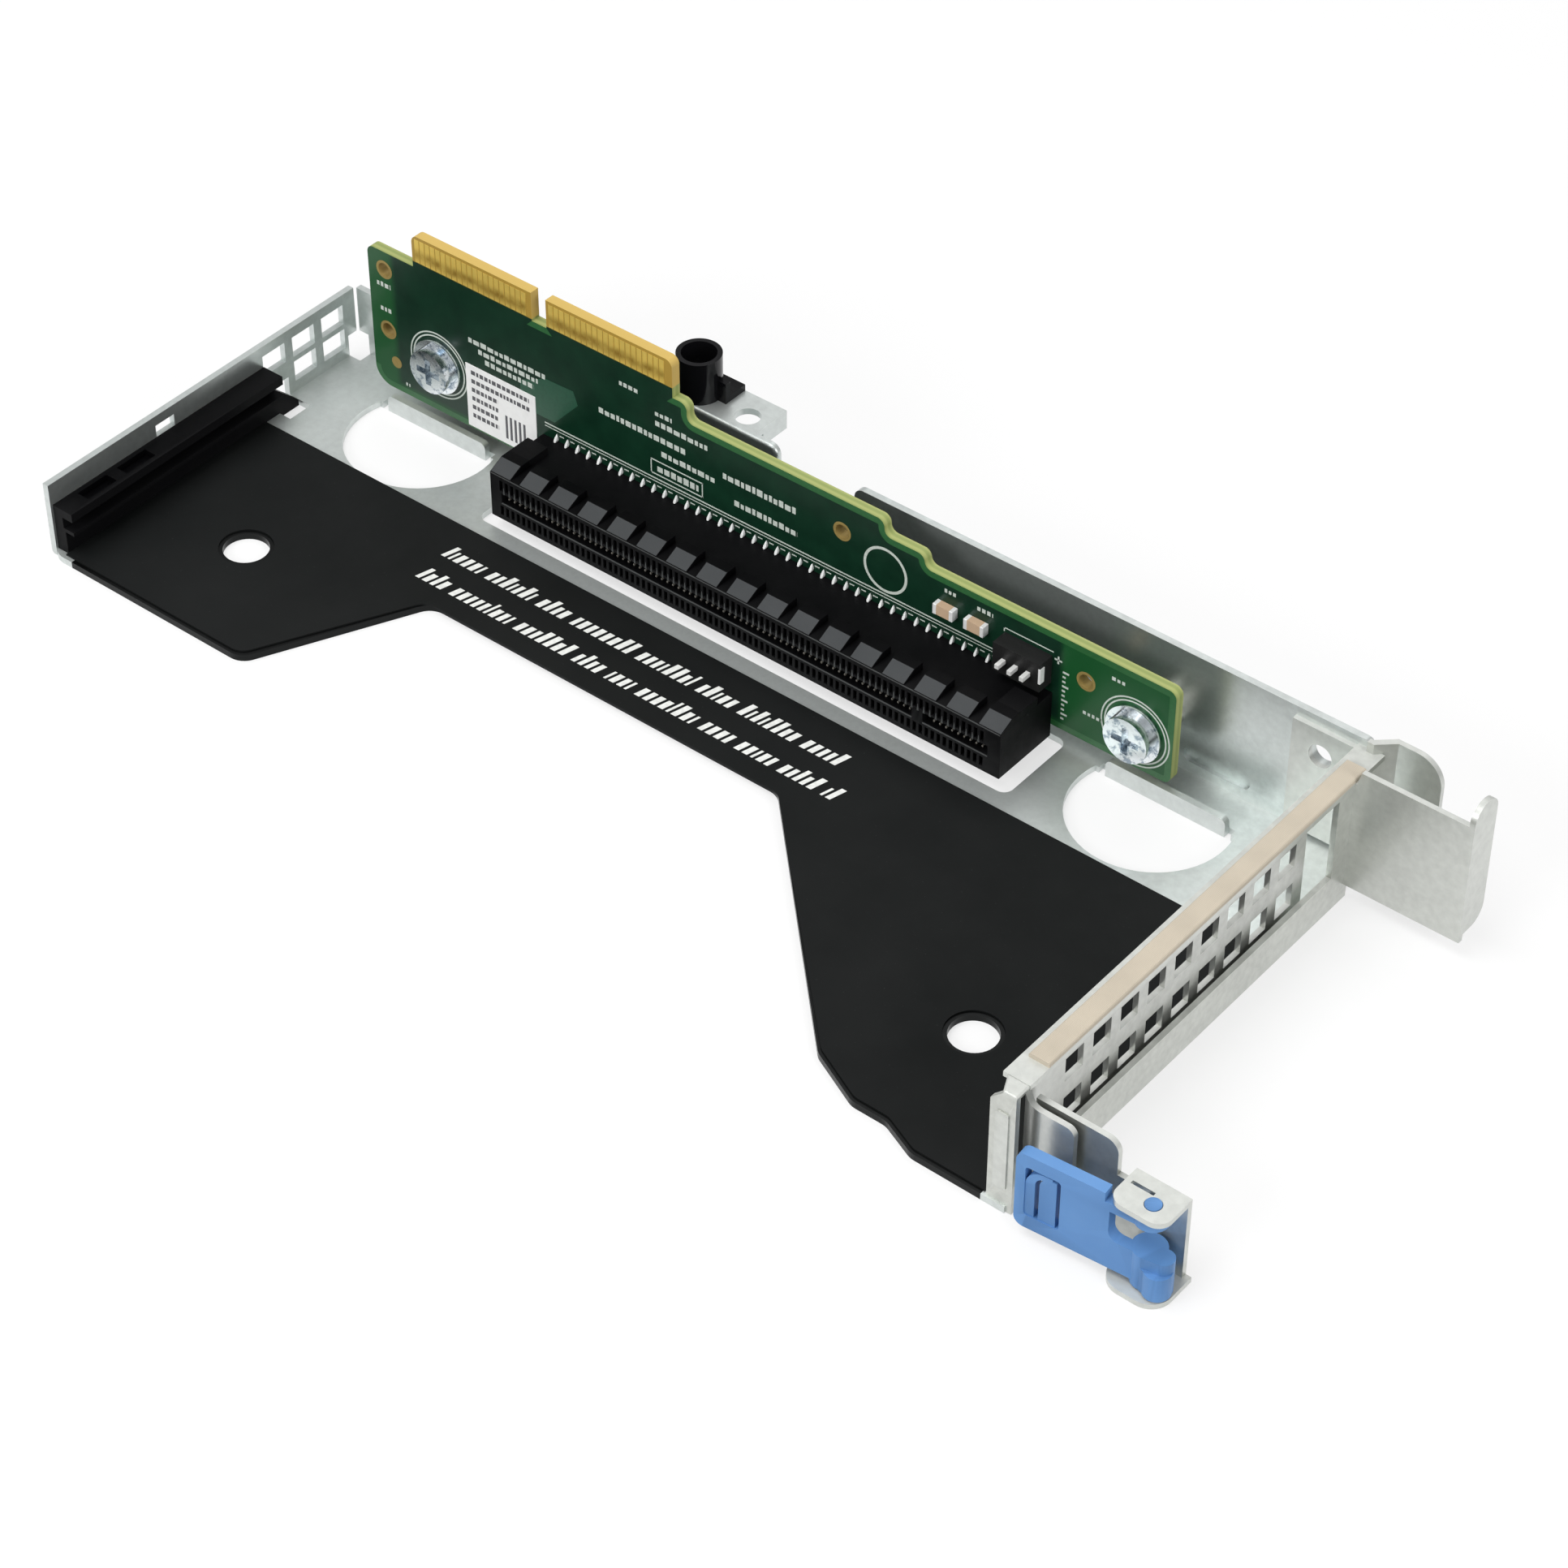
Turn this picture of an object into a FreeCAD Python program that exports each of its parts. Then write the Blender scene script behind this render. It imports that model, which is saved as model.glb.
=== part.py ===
import FreeCAD, Part
import math
import os
import Sketcher

# Server riser card: a folded tray that carries a riser board with its card slot,
# a perforated slot blank and a hinged card latch. Millimetres, +Z up.
# Every place is measured from the slot connector: its left end, its mouth and its underside.
# The finished part's origin is the centre of the tray's left hole, at the tray's underside.

SIZES = {
    # Slot connector
    "slot_length": 89.0,
    "slot_depth": 11.25,
    "slot_height": 7.5,
    "slit_low": 2.9,
    "slit_height": 1.7,
    "slit_depth": 8.5,
    "slit_end_wall": 2.0,
    "key_from_end": 14.5,
    "key_width": 1.8,
    "tooth_width": 3.7,
    "tooth_count": 17,
    "tooth_rise": 1.2,
    "tooth_slope": 2.5,
    "tooth_back": 4.2,
    "end_block_back": 8.0,
    # Riser board
    "board_thick": 1.57,
    "board_left": 32.5,
    "board_past_slot": 19.2,
    "board_low": 2.05,
    "board_corner": 1.2,
    "board_low_corner": 3.0,
    "shoulder_height": 25.6,
    "edge_start": 23.6,
    "edge_height": 31.0,
    "edge_notch_left": 1.2,
    "edge_notch_right": 1.5,
    "edge_notch_low": 26.3,
    "edge_end": 24.2,
    "step_one_right": 26.7,
    "step_one_height": 25.0,
    "step_two_right": 60.8,
    "step_two_height": 22.0,
    "step_three_right": 67.6,
    "step_three_height": 19.55,
    "board_right_height": 17.5,
    "step_round": 1.2,
    "tooling_hole": 1.15,
    "tooling_inset": 3.1,
    "tooling_over_left": 1.8,
    "tooling_from_right": 8.1,
    "tooling_over_right": 4.2,
    "tooling_from_step": 7.1,
    "tooling_below_step": 5.3,
    # Screws and standoffs behind the board
    "screw_left_x": 19.7,
    "screw_left_z": 10.3,
    "screw_past_slot": 13.3,
    "screw_right_z": 7.9,
    "screw_head": 4.3,
    "screw_top": 3.45,
    "screw_head_height": 2.4,
    "screw_washer": 0.7,
    "screw_shank": 1.5,
    "screw_reach": 4.0,
    "cross_arm": 2.15,
    "cross_half": 0.52,
    "cross_depth": 1.3,
    "screw_hole_room": 0.25,
    "standoff_length": 5.08,
    "standoff_outer": 3.0,
    "shank_room": 0.1,
    # Tray: one folded sheet
    "tray_gauge": 1.0,
    "tray_drop": 2.0,
    "tray_bend": 0.6,
    "tray_left": 42.6,
    "left_wall_height": 10.1,
    "left_wall_start": 0.7,
    "left_wall_end_room": 0.3,
    "front_edge": 44.1,
    "front_corner": 3.0,
    "wall_corner": 1.5,
    "lip_end": 6.17,
    "recess_left": 6.08,
    "recess_depth": 19.0,
    "recess_from_end": 21.8,
    "slant_past_slot": 12.5,
    "slant_end_depth": 53.2,
    "nose_past_slot": 20.7,
    "nose_depth": 57.0,
    "nose_end_past_slot": 26.0,
    "front_past_slot": 31.5,
    "front_right_depth": 59.3,
    "plate_hole": 3.3,
    "hole_left_x": 22.3,
    "hole_left_y": 26.5,
    "hole_past_slot": 25.3,
    "hole_right_y": 38.6,
    "round_hole": 11.45,
    "round_left_x": 20.3,
    "round_left_y": 7.4,
    "round_past_slot": 18.6,
    "round_right_y": 8.2,
    "chord_rise": 3.0,
    "chord_lip_rise": 1.8,
    "chord_lip_half": 9.5,
    "chord_lip_corner": 0.9,
    "lip_relief": 1.0,
    "cutout_side": 2.0,
    "cutout_front": 1.0,
    "cutout_back": 1.35,
    "cutout_corner": 1.5,
    "vent_width": 4.5,
    "vent_height": 3.4,
    "vent_pitch": 6.05,
    "vent_start": 1.5,
    "vent_low": 0.75,
    "vent_row_rise": 4.25,
    "vent_count_low": 2,
    "vent_count_high": 3,
    "window_start": 22.9,
    "window_width": 3.6,
    "window_low": 6.5,
    "window_height": 2.0,
    "foot_slot_start": 1.0,
    "foot_slot_end": 3.2,
    "foot_slot_reach": 4.1,
    "foot_slot_rise": 4.2,
    "relief_width": 2.1,
    "relief_rise": 4.5,
    "back_wall_start": 42.3,
    "back_wall_from_bracket": 1.8,
    "back_wall_height": 18.6,
    "back_wall_low": 15.5,
    "back_wall_left_end": 36.0,
    "back_wall_left_rise": 6.0,
    "back_wall_tall_start": 4.0,
    "back_wall_dip_start": 37.0,
    "back_wall_dip_end": 50.5,
    "bead_past_slot": 16.2,
    "bead_length": 11.5,
    "bead_low": 0.2,
    "bead_height": 3.4,
    "bead_press": 0.6,
    "bead_flat": 0.1,
    "bead_rim": 0.5,
    # Rear flange on the back wall
    "flange_start": 6.4,
    "flange_end": 32.6,
    "flange_reach": 7.6,
    "flange_hole_x": 29.3,
    "flange_hole_back": 3.2,
    "flange_hole": 1.85,
    "hem_drop": 3.0,
    "hem_start": 2.5,
    # Guide boss on the rear flange
    "boss_x": 20.5,
    "boss_back": 3.4,
    "boss_outer": 3.27,
    "boss_wall": 0.72,
    "boss_height": 6.7,
    "boss_foot_side": 4.7,
    "boss_foot_back": 4.2,
    "boss_foot_height": 1.0,
    "boss_fin": 1.0,
    "boss_fin_height": 3.35,
    # Insulating film on the plate
    "film_thick": 0.25,
    "film_inset": 0.6,
    "film_back": 3.9,
    "film_left": 38.2,
    "film_from_bracket": 4.1,
    "film_hole_room": 0.6,
    "film_corner": 2.6,
    # Card guide on the left wall
    "guide_front": 43.0,
    "guide_back": 1.4,
    "guide_top": 6.6,
    "guide_low": 2.8,
    "guide_width": 3.7,
    "guide_leg": 2.0,
    "groove_low": 3.4,
    "groove_height": 1.8,
    "groove_depth": 2.0,
    "foot_end": 2.9,
    "foot_room": 0.25,
    "pocket_first": 4.0,
    "pocket_second": 11.5,
    "pocket_length": 5.5,
    "pocket_rim": 0.8,
    "pocket_floor": 0.4,
    # Bracket at the card's outer end
    "bracket_gauge": 0.8,
    "bracket_past_slot": 46.3,
    "bracket_back": 11.9,
    "strip_rise": 5.8,
    "window_back": 7.8,
    "bracket_height": 17.6,
    "top_flange_width": 3.9,
    "top_flange_front": 56.4,
    "overlap_from_bracket": 13.3,
    "overlap_drop": 0.4,
    "overlap_lift": 0.6,
    "overlap_hole_from_bracket": 8.8,
    "overlap_hole_z": 13.1,
    "overlap_hole": 1.75,
    "joggle_step": 2.1,
    "joggle_run": 2.3,
    "joggle_reach": 7.7,
    "joggle_height": 19.2,
    "joggle_low": 6.0,
    "joggle_corner": 4.0,
    "joggle_ease": 0.5,
    "side_tab_reach": 17.2,
    "side_tab_low": 0.5,
    "side_tab_height": 19.7,
    "side_tab_ease": 0.3,
    "side_flange_back": 16.3,
    "side_flange_low": 1.5,
    "side_flange_height": 22.5,
    "side_flange_corner": 2.5,
    "ear_front": 59.0,
    "ear_width": 3.7,
    "ear_height": 17.3,
    "ear_corner": 1.8,
    "emboss_rim": 0.9,
    "emboss_low": 1.5,
    "emboss_height": 14.2,
    "emboss_rise": 0.2,
    "emboss_corner": 0.5,
    "shelf_front": 55.0,
    "shelf_tall_reach": 11.8,
    "shelf_height": 14.6,
    "shelf_corner": 1.8,
    "shelf_dip": 9.5,
    "hinge_start_reach": 13.9,
    "hinge_reach": 21.7,
    "hinge_height": 11.5,
    "hinge_front": 60.2,
    "hinge_corner": 2.0,
    "ear_slit_start": 0.8,
    "ear_slit_length": 3.2,
    "ear_slit_back": 56.1,
    "ear_slit_width": 0.5,
    "lower_ear_front": 61.2,
    "lower_ear_reach": 22.5,
    "lower_ear_corner": 3.0,
    # Slot blank
    "blank_gauge": 0.8,
    "blank_room": 0.9,
    "blank_back": 3.6,
    "blank_top_room": 0.3,
    "blank_curl": 3.5,
    "blank_curl_start": 52.3,
    "blank_tab_reach": 6.6,
    "blank_tab_low": 4.0,
    "blank_tab_height": 14.5,
    "blank_corner": 3.5,
    "blank_tab_corner": 1.2,
    "blank_vent_width": 3.6,
    "blank_vent_height": 3.8,
    "blank_vent_pitch": 5.57,
    "blank_vent_first": 45.05,
    "blank_vent_low": 4.9,
    "blank_vent_rise": 6.6,
    "blank_vent_count": 9,
    # Conductive gasket on the top flange
    "gasket_width": 3.0,
    "gasket_thick": 0.7,
    "gasket_front": 52.7,
    "gasket_back": 13.6,
    "gasket_round": 0.3,
    # Latch lever and its hinge
    "pivot_reach": 18.7,
    "pivot_y": 57.7,
    "pin_radius": 1.05,
    "pin_room": 0.07,
    "lever_ajar": 5,
    "lever_end": 17.2,
    "lever_thick": 1.6,
    "lever_front": 1.8,
    "lever_low": 0.25,
    "lever_height": 11.8,
    "lever_shoulder": 4.6,
    "lever_neck": 5.3,
    "lever_blend": 1.4,
    "lever_corner": 1.3,
    "grip_left": 15.9,
    "grip_right": 11.1,
    "grip_low": 1.9,
    "grip_height": 9.85,
    "grip_corner": 0.5,
    "grip_inset": 0.15,
    "rib_width": 1.3,
    "rib_top": 9.55,
    "rib_thick": 0.8,
    "rib_round": 2.6,
    "rib_inner_round": 1.3,
    "tongue_gap": 0.6,
    "tongue_top": 9.2,
    "tongue_round": 1.6,
    "barrel_radius": 2.2,
    "barrel_height": 4.5,
    "swell_x": 2.2,
    "swell_y": 0.6,
    "swell_radius": 1.4,
    "heel_x": 1.9,
    "heel_y": 1.2,
    "heel_radius": 1.8,
    "heel_height": 2.8,
    "arm_thick": 1.3,
    "hinge_room": 0.3,
    "pin_stand": 0.1,
    "pin_end_room": 0.1,
    # Small parts on the board
    "label_left": 14.4,
    "label_right": 1.2,
    "label_low": 2.4,
    "label_height": 13.3,
    "label_thick": 0.1,
    "header_from_end": 8.0,
    "header_length": 7.7,
    "header_low": 9.0,
    "header_height": 13.6,
    "header_depth": 2.65,
    "header_pin": 0.64,
    "header_pin_pitch": 2.0,
    "header_pin_count": 3,
    "header_pin_reach": 1.6,
    "chip_length": 3.2,
    "chip_height": 1.6,
    "chip_depth": 1.2,
    "chip_from_end": 17.4,
    "chip_pitch": 5.1,
    "chip_z": 12.7,
}

document = FreeCAD.newDocument("RiserCard")
sheet = document.addObject("Spreadsheet::Sheet", "Dim")
sheet.Label = "Dim"
for row, (alias, amount) in enumerate(SIZES.items(), start=1):
    sheet.set("A%d" % row, alias)
    sheet.set("B%d" % row, str(amount))
    sheet.setAlias("B%d" % row, alias)
document.recompute()


class Size:
    """A length with the expression that gives it, so that sums of sizes stay bound to the sheet."""

    def __init__(self, value, text):
        self.value = value
        self.text = text

    def __add__(self, other):
        other = as_size(other)
        return Size(self.value + other.value, "(%s + %s)" % (self.text, other.text))

    def __sub__(self, other):
        other = as_size(other)
        return Size(self.value - other.value, "(%s - %s)" % (self.text, other.text))

    def __mul__(self, other):
        other = as_size(other)
        return Size(self.value * other.value, "(%s * %s)" % (self.text, other.text))

    def __truediv__(self, other):
        other = as_size(other)
        return Size(self.value / other.value, "(%s / %s)" % (self.text, other.text))

    def __neg__(self):
        return Size(-self.value, "(0 - %s)" % self.text)


class Sheet:
    """Gives each alias of the sheet as a Size."""

    def __getattr__(self, alias):
        return Size(float(sheet.get(alias)), "Dim." + alias)


def as_size(amount):
    """Turns a plain number into a Size."""
    if isinstance(amount, Size):
        return amount
    return Size(float(amount), repr(float(amount)))


d = Sheet()
ZERO = as_size(0)

# Places along the part that follow the slot's far end, and then the bracket
key_left = d.slot_length - d.key_from_end
board_right = d.slot_length + d.board_past_slot
screw_right_x = d.slot_length + d.screw_past_slot
round_right_x = d.slot_length + d.round_past_slot
hole_right_x = d.slot_length + d.hole_past_slot
bracket_x = d.slot_length + d.bracket_past_slot
header_left = d.slot_length - d.header_from_end
chip_left_x = d.slot_length - d.chip_from_end
bead_start = d.slot_length + d.bead_past_slot
recess_right = d.slot_length - d.recess_from_end
slant_end = d.slot_length + d.slant_past_slot
nose_left = d.slot_length + d.nose_past_slot
nose_right = d.slot_length + d.nose_end_past_slot
front_right = d.slot_length + d.front_past_slot
film_right = bracket_x - d.film_from_bracket
back_wall_end = bracket_x - d.back_wall_from_bracket
overlap_start = bracket_x - d.overlap_from_bracket
overlap_hole_x = bracket_x - d.overlap_hole_from_bracket
joggle_end = bracket_x + d.joggle_reach
side_tab_end = bracket_x + d.side_tab_reach
shelf_tall_end = bracket_x + d.shelf_tall_reach
hinge_start = bracket_x + d.hinge_start_reach
hinge_end = bracket_x + d.hinge_reach
lower_ear_end = bracket_x + d.lower_ear_reach
pivot_x = bracket_x + d.pivot_reach
blank_tab_end = bracket_x + d.blank_tab_reach
header_right = header_left + d.header_length
chip_right_x = chip_left_x + d.chip_pitch
bead_end = bead_start + d.bead_length

# Levels and faces that several pieces share
plate_low = -d.tray_drop
plate_top = plate_low + d.tray_gauge
board_front = d.slot_depth
board_back = board_front + d.board_thick
wall_in = board_back + d.standoff_length
wall_out = wall_in + d.tray_gauge
left_in = -d.tray_left
left_out = left_in - d.tray_gauge
bracket_in = bracket_x - d.bracket_gauge
strip_top = plate_low + d.strip_rise
flange_top = d.back_wall_height
shelf_back = -d.shelf_front + d.bracket_gauge

parts = []
PLANES = {"XY": "XY_Plane", "XZ": "XZ_Plane", "YZ": "YZ_Plane"}


def bind(thing, prop, amount):
    """Binds one property to a size."""
    thing.setExpression(prop, as_size(amount).text)


def place(thing, label, corner=(0, 0, 0)):
    """Names a sub-part and moves its corner from the slot's datum to the part's own origin."""
    thing.Label = label
    bind(thing, "Placement.Base.x", d.hole_left_x + corner[0])
    bind(thing, "Placement.Base.y", d.hole_left_y + corner[1])
    bind(thing, "Placement.Base.z", d.tray_drop + corner[2])
    parts.append(thing)
    return thing


def new_body(label, corner=(0, 0, 0)):
    """Starts a sub-part that is drawn with sketches."""
    return place(document.addObject("PartDesign::Body", label), label, corner)


def origin_plane(body, plane):
    """The body's own origin plane of that name."""
    return [item for item in body.Origin.OriginFeatures if item.Role == PLANES[plane]][0]


def arc_between(start, end, radius, side):
    """An arc from start to end; side +1 has its centre left of the way from start to end."""
    middle = (start + end) * 0.5
    way = end - start
    across = FreeCAD.Vector(-way.y, way.x, 0).normalize()
    height = math.sqrt(max(radius ** 2 - (way.Length / 2) ** 2, 0))
    centre = middle + across * height * side
    circle = Part.Circle(centre, FreeCAD.Vector(0, 0, 1), radius)
    first, last = (start, end) if side > 0 else (end, start)
    return Part.ArcOfCircle(circle, circle.parameter(first), circle.parameter(last))


def draw_loop(sketch, loop):
    """Draws a closed loop; a point may carry (radius, side) for the arc that leads to the next."""
    spots = [FreeCAD.Vector(as_size(item[0]).value, as_size(item[1]).value, 0) for item in loop]
    first = sketch.GeometryCount
    ends = []
    for index, item in enumerate(loop):
        start = spots[index]
        end = spots[(index + 1) % len(loop)]
        if len(item) == 2:
            sketch.addGeometry(Part.LineSegment(start, end))
            ends.append((1, 2))
        else:
            radius, side = item[2]
            number = sketch.addGeometry(arc_between(start, end, as_size(radius).value, side))
            ends.append((1, 2) if side > 0 else (2, 1))
            mark = sketch.addConstraint(Sketcher.Constraint("Radius", number, as_size(radius).value))
            bind(sketch, "Constraints[%d]" % mark, radius)
    for index, item in enumerate(loop):
        follower = (index + 1) % len(loop)
        sketch.addConstraint(Sketcher.Constraint(
            "Coincident", first + index, ends[index][1], first + follower, ends[follower][0]))
        for kind, amount in (("DistanceX", item[0]), ("DistanceY", item[1])):
            mark = sketch.addConstraint(Sketcher.Constraint(
                kind, -1, 1, first + index, ends[index][0], as_size(amount).value))
            bind(sketch, "Constraints[%d]" % mark, amount)


def draw_circle(sketch, x, y, radius):
    """Draws a circle with its centre and radius bound."""
    spot = FreeCAD.Vector(as_size(x).value, as_size(y).value, 0)
    number = sketch.addGeometry(Part.Circle(spot, FreeCAD.Vector(0, 0, 1), as_size(radius).value))
    for kind, amount in (("DistanceX", x), ("DistanceY", y)):
        mark = sketch.addConstraint(Sketcher.Constraint(kind, -1, 1, number, 3, as_size(amount).value))
        bind(sketch, "Constraints[%d]" % mark, amount)
    mark = sketch.addConstraint(Sketcher.Constraint("Radius", number, as_size(radius).value))
    bind(sketch, "Constraints[%d]" % mark, radius)


def draw_round_with_chord(sketch, x, y, radius, rise):
    """Draws the larger part of a circle, closed by a chord that lies rise above the centre."""
    x, y, radius, rise = (as_size(item) for item in (x, y, radius, rise))
    lean = math.asin(rise.value / radius.value)
    circle = Part.Circle(FreeCAD.Vector(x.value, y.value, 0), FreeCAD.Vector(0, 0, 1), radius.value)
    bow = sketch.addGeometry(Part.ArcOfCircle(circle, math.pi - lean, 2 * math.pi + lean))
    half = radius.value * math.cos(lean)
    level = y.value + rise.value
    line = sketch.addGeometry(Part.LineSegment(
        FreeCAD.Vector(x.value + half, level, 0), FreeCAD.Vector(x.value - half, level, 0)))
    sketch.addConstraint(Sketcher.Constraint("Coincident", bow, 2, line, 1))
    sketch.addConstraint(Sketcher.Constraint("Coincident", line, 2, bow, 1))
    sketch.addConstraint(Sketcher.Constraint("Horizontal", line))
    mark = sketch.addConstraint(Sketcher.Constraint("Radius", bow, radius.value))
    bind(sketch, "Constraints[%d]" % mark, radius)
    for kind, place_of, amount in (("DistanceX", (bow, 3), x), ("DistanceY", (bow, 3), y),
                                   ("DistanceY", (line, 1), y + rise)):
        mark = sketch.addConstraint(Sketcher.Constraint(kind, -1, 1, *place_of, amount.value))
        bind(sketch, "Constraints[%d]" % mark, amount)


def slab(body, name, plane, low, high, draw, cut=False):
    """Adds, or cuts, what draw(sketch) encloses, between two levels across the plane."""
    low, high = as_size(low), as_size(high)
    sketch = body.newObject("Sketcher::SketchObject", name + "_sketch")
    sketch.AttachmentSupport = (origin_plane(body, plane), [""])
    sketch.MapMode = "FlatFace"
    draw(sketch)
    along_y = plane == "XZ"
    start_at_high = cut != along_y
    level = high if start_at_high else low
    bind(sketch, "AttachmentOffset.Base.z", -level if along_y else level)
    kind = "PartDesign::Pocket" if cut else "PartDesign::Pad"
    feature = body.newObject(kind, name)
    feature.Profile = sketch
    bind(feature, "Length", high - low)
    return feature


def loop_of(*points):
    """A drawing of one closed loop."""
    return lambda sketch: draw_loop(sketch, points)


def rectangle(x_low, x_high, y_low, y_high):
    """A drawing of a plain rectangle."""
    return loop_of((x_low, y_low), (x_high, y_low), (x_high, y_high), (x_low, y_high))


def round_rectangle(x_low, x_high, y_low, y_high, radius):
    """A drawing of a rectangle with round corners."""
    x_low, x_high, y_low, y_high, radius = (
        as_size(item) for item in (x_low, x_high, y_low, y_high, radius))
    bend = (radius, 1)
    return loop_of(
        (x_low + radius, y_low), (x_high - radius, y_low, bend),
        (x_high, y_low + radius), (x_high, y_high - radius, bend),
        (x_high - radius, y_high), (x_low + radius, y_high, bend),
        (x_low, y_high - radius), (x_low, y_low + radius, bend))


def circle_at(x, y, radius):
    """A drawing of one circle."""
    return lambda sketch: draw_circle(sketch, x, y, radius)


def round_edges(body, name, radius, spots):
    """Rounds the straight edges that pass nearest to the given spots."""
    document.recompute()
    base = body.Tip
    edges = base.Shape.Edges
    chosen = []
    for spot in spots:
        point = Part.Vertex(FreeCAD.Vector(*(as_size(item).value for item in spot)))
        gaps = [edge.distToShape(point)[0] for edge in edges]
        number = gaps.index(min(gaps)) + 1
        if "Edge%d" % number not in chosen:
            chosen.append("Edge%d" % number)
    feature = body.newObject("PartDesign::Fillet", name)
    feature.Base = (base, chosen)
    bind(feature, "Radius", radius)
    return feature


def repeat(body, name, feature, axis, length, count):
    """Repeats a feature in a straight row that is length long."""
    document.recompute()
    pattern = body.newObject("PartDesign::LinearPattern", name)
    pattern.Originals = [feature]
    role = {"X": "X_Axis", "Y": "Y_Axis", "Z": "Z_Axis"}[axis]
    line = [item for item in body.Origin.OriginFeatures if item.Role == role][0]
    pattern.Direction = (line, [""])
    bind(pattern, "Length", length)
    bind(pattern, "Occurrences", count)
    body.Tip = pattern
    return pattern


def plate_outline():
    """The tray's front edge and its other sides, seen from above."""
    return (
        (left_out, -d.front_edge), (-d.lip_end, -d.front_edge), (d.recess_left, -d.recess_depth),
        (recess_right, -d.recess_depth), (slant_end, -d.slant_end_depth),
        (nose_left, -d.nose_depth), (nose_right, -d.nose_depth),
        (front_right, -d.front_right_depth), (bracket_in, -d.front_right_depth),
        (bracket_in, wall_out - d.tray_bend), (left_out, wall_out - d.tray_bend))


def make_tray():
    """One folded sheet: plate, left wall, back wall and rear flange."""
    body = new_body("tray")
    slab(body, "plate", "XY", plate_low, plate_top, loop_of(*plate_outline()))
    round_edges(body, "front_corners", d.front_corner, [
        (x, y, plate_low + d.tray_gauge / 2) for x, y in plate_outline()[:8]])
    left_back = wall_in - d.left_wall_end_room
    left_front = -d.front_edge + d.left_wall_start
    slab(body, "left_wall", "YZ", left_out, left_in,
         rectangle(left_front, left_back, plate_low, d.left_wall_height))
    back_left = -d.back_wall_left_end
    slab(body, "back_wall", "XZ", wall_in, wall_out, loop_of(
        (-d.back_wall_start, plate_low), (back_wall_end, plate_low),
        (back_wall_end, d.back_wall_height), (d.back_wall_dip_end, d.back_wall_height),
        (d.back_wall_dip_end, d.back_wall_low), (d.back_wall_dip_start, d.back_wall_low),
        (d.back_wall_dip_start, d.back_wall_height), (d.back_wall_tall_start, d.back_wall_height),
        (d.back_wall_tall_start, d.back_wall_low),
        (back_left + d.back_wall_left_rise, d.back_wall_low), (back_left, d.left_wall_height),
        (-d.back_wall_start, d.left_wall_height)))
    middle = wall_in + d.tray_gauge / 2
    round_edges(body, "back_wall_corners", d.wall_corner, [
        (x, middle, z) for x, z in (
            (back_wall_end, d.back_wall_height), (d.back_wall_dip_end, d.back_wall_height),
            (d.back_wall_dip_start, d.back_wall_height), (back_left, d.left_wall_height))])
    slab(body, "rear_flange", "XY", flange_top - d.tray_gauge, flange_top,
         rectangle(d.flange_start, d.flange_end, wall_in, wall_in + d.flange_reach))
    slab(body, "flange_hem", "YZ", d.flange_end - d.tray_gauge, d.flange_end,
         rectangle(wall_in + d.hem_start, wall_in + d.flange_reach,
                   flange_top - d.hem_drop, flange_top - d.tray_gauge / 2))
    far = wall_in + d.flange_reach
    round_edges(body, "flange_corners", d.wall_corner, [
        (d.flange_start, far, flange_top - d.tray_gauge / 2)])
    round_edges(body, "outer_bends", d.tray_bend, [
        (left_out, ZERO, plate_low), (ZERO, wall_out, plate_low),
        (d.boss_x, wall_in, flange_top)])
    slab(body, "flange_hole", "XY", flange_top - d.tray_gauge, flange_top,
         circle_at(d.flange_hole_x, wall_in + d.flange_hole_back, d.flange_hole), cut=True)
    slab(body, "bracket_hole", "XZ", wall_in, wall_out,
         circle_at(overlap_hole_x, d.overlap_hole_z, d.overlap_hole), cut=True)
    cut_plate_openings(body)
    cut_wall_openings(body)
    add_chord_lips(body)
    add_bead(body)


def cut_plate_openings(body):
    """The holes and cut-outs in the tray's plate."""
    for side, x, y in (("left", -d.hole_left_x, -d.hole_left_y),
                       ("right", hole_right_x, -d.hole_right_y)):
        slab(body, "plate_hole_" + side, "XY", plate_low, plate_top,
             circle_at(x, y, d.plate_hole), cut=True)
    for side, x, y in (("left", -d.round_left_x, d.round_left_y),
                       ("right", round_right_x, d.round_right_y)):
        slab(body, "round_hole_" + side, "XY", plate_low, plate_top,
             lambda sketch, x=x, y=y: draw_round_with_chord(sketch, x, y, d.round_hole, d.chord_rise),
             cut=True)
    slab(body, "slot_cutout", "XY", plate_low, plate_top, round_rectangle(
        -d.cutout_side, d.slot_length + d.cutout_side, -d.cutout_front,
        board_front + d.cutout_back, d.cutout_corner), cut=True)


def cut_wall_openings(body):
    """The vents, the window and the fold reliefs of the tray's left wall."""
    for row_name, low, count in (("low", d.vent_low, d.vent_count_low),
                                 ("high", d.vent_low + d.vent_row_rise, d.vent_count_high)):
        start = -d.vent_start + d.vent_pitch * (d.vent_count_high - count)
        vent = slab(body, "vent_" + row_name, "YZ", left_out, left_in,
                    rectangle(start, start + d.vent_width, low, low + d.vent_height), cut=True)
        repeat(body, "vents_" + row_name, vent, "Y", d.vent_pitch * (count - 1), count)
    slab(body, "wall_window", "YZ", left_out, left_in, rectangle(
        -d.window_start, -d.window_start + d.window_width,
        d.window_low, d.window_low + d.window_height), cut=True)
    slab(body, "foot_notch", "YZ", left_out, left_in + d.foot_slot_reach, rectangle(
        -d.foot_slot_start, d.foot_slot_end, plate_low, plate_low + d.foot_slot_rise), cut=True)
    slab(body, "corner_relief", "XY", plate_low, plate_low + d.relief_rise, rectangle(
        left_out, left_in + d.relief_width, wall_in - d.relief_width, wall_out), cut=True)


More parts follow.
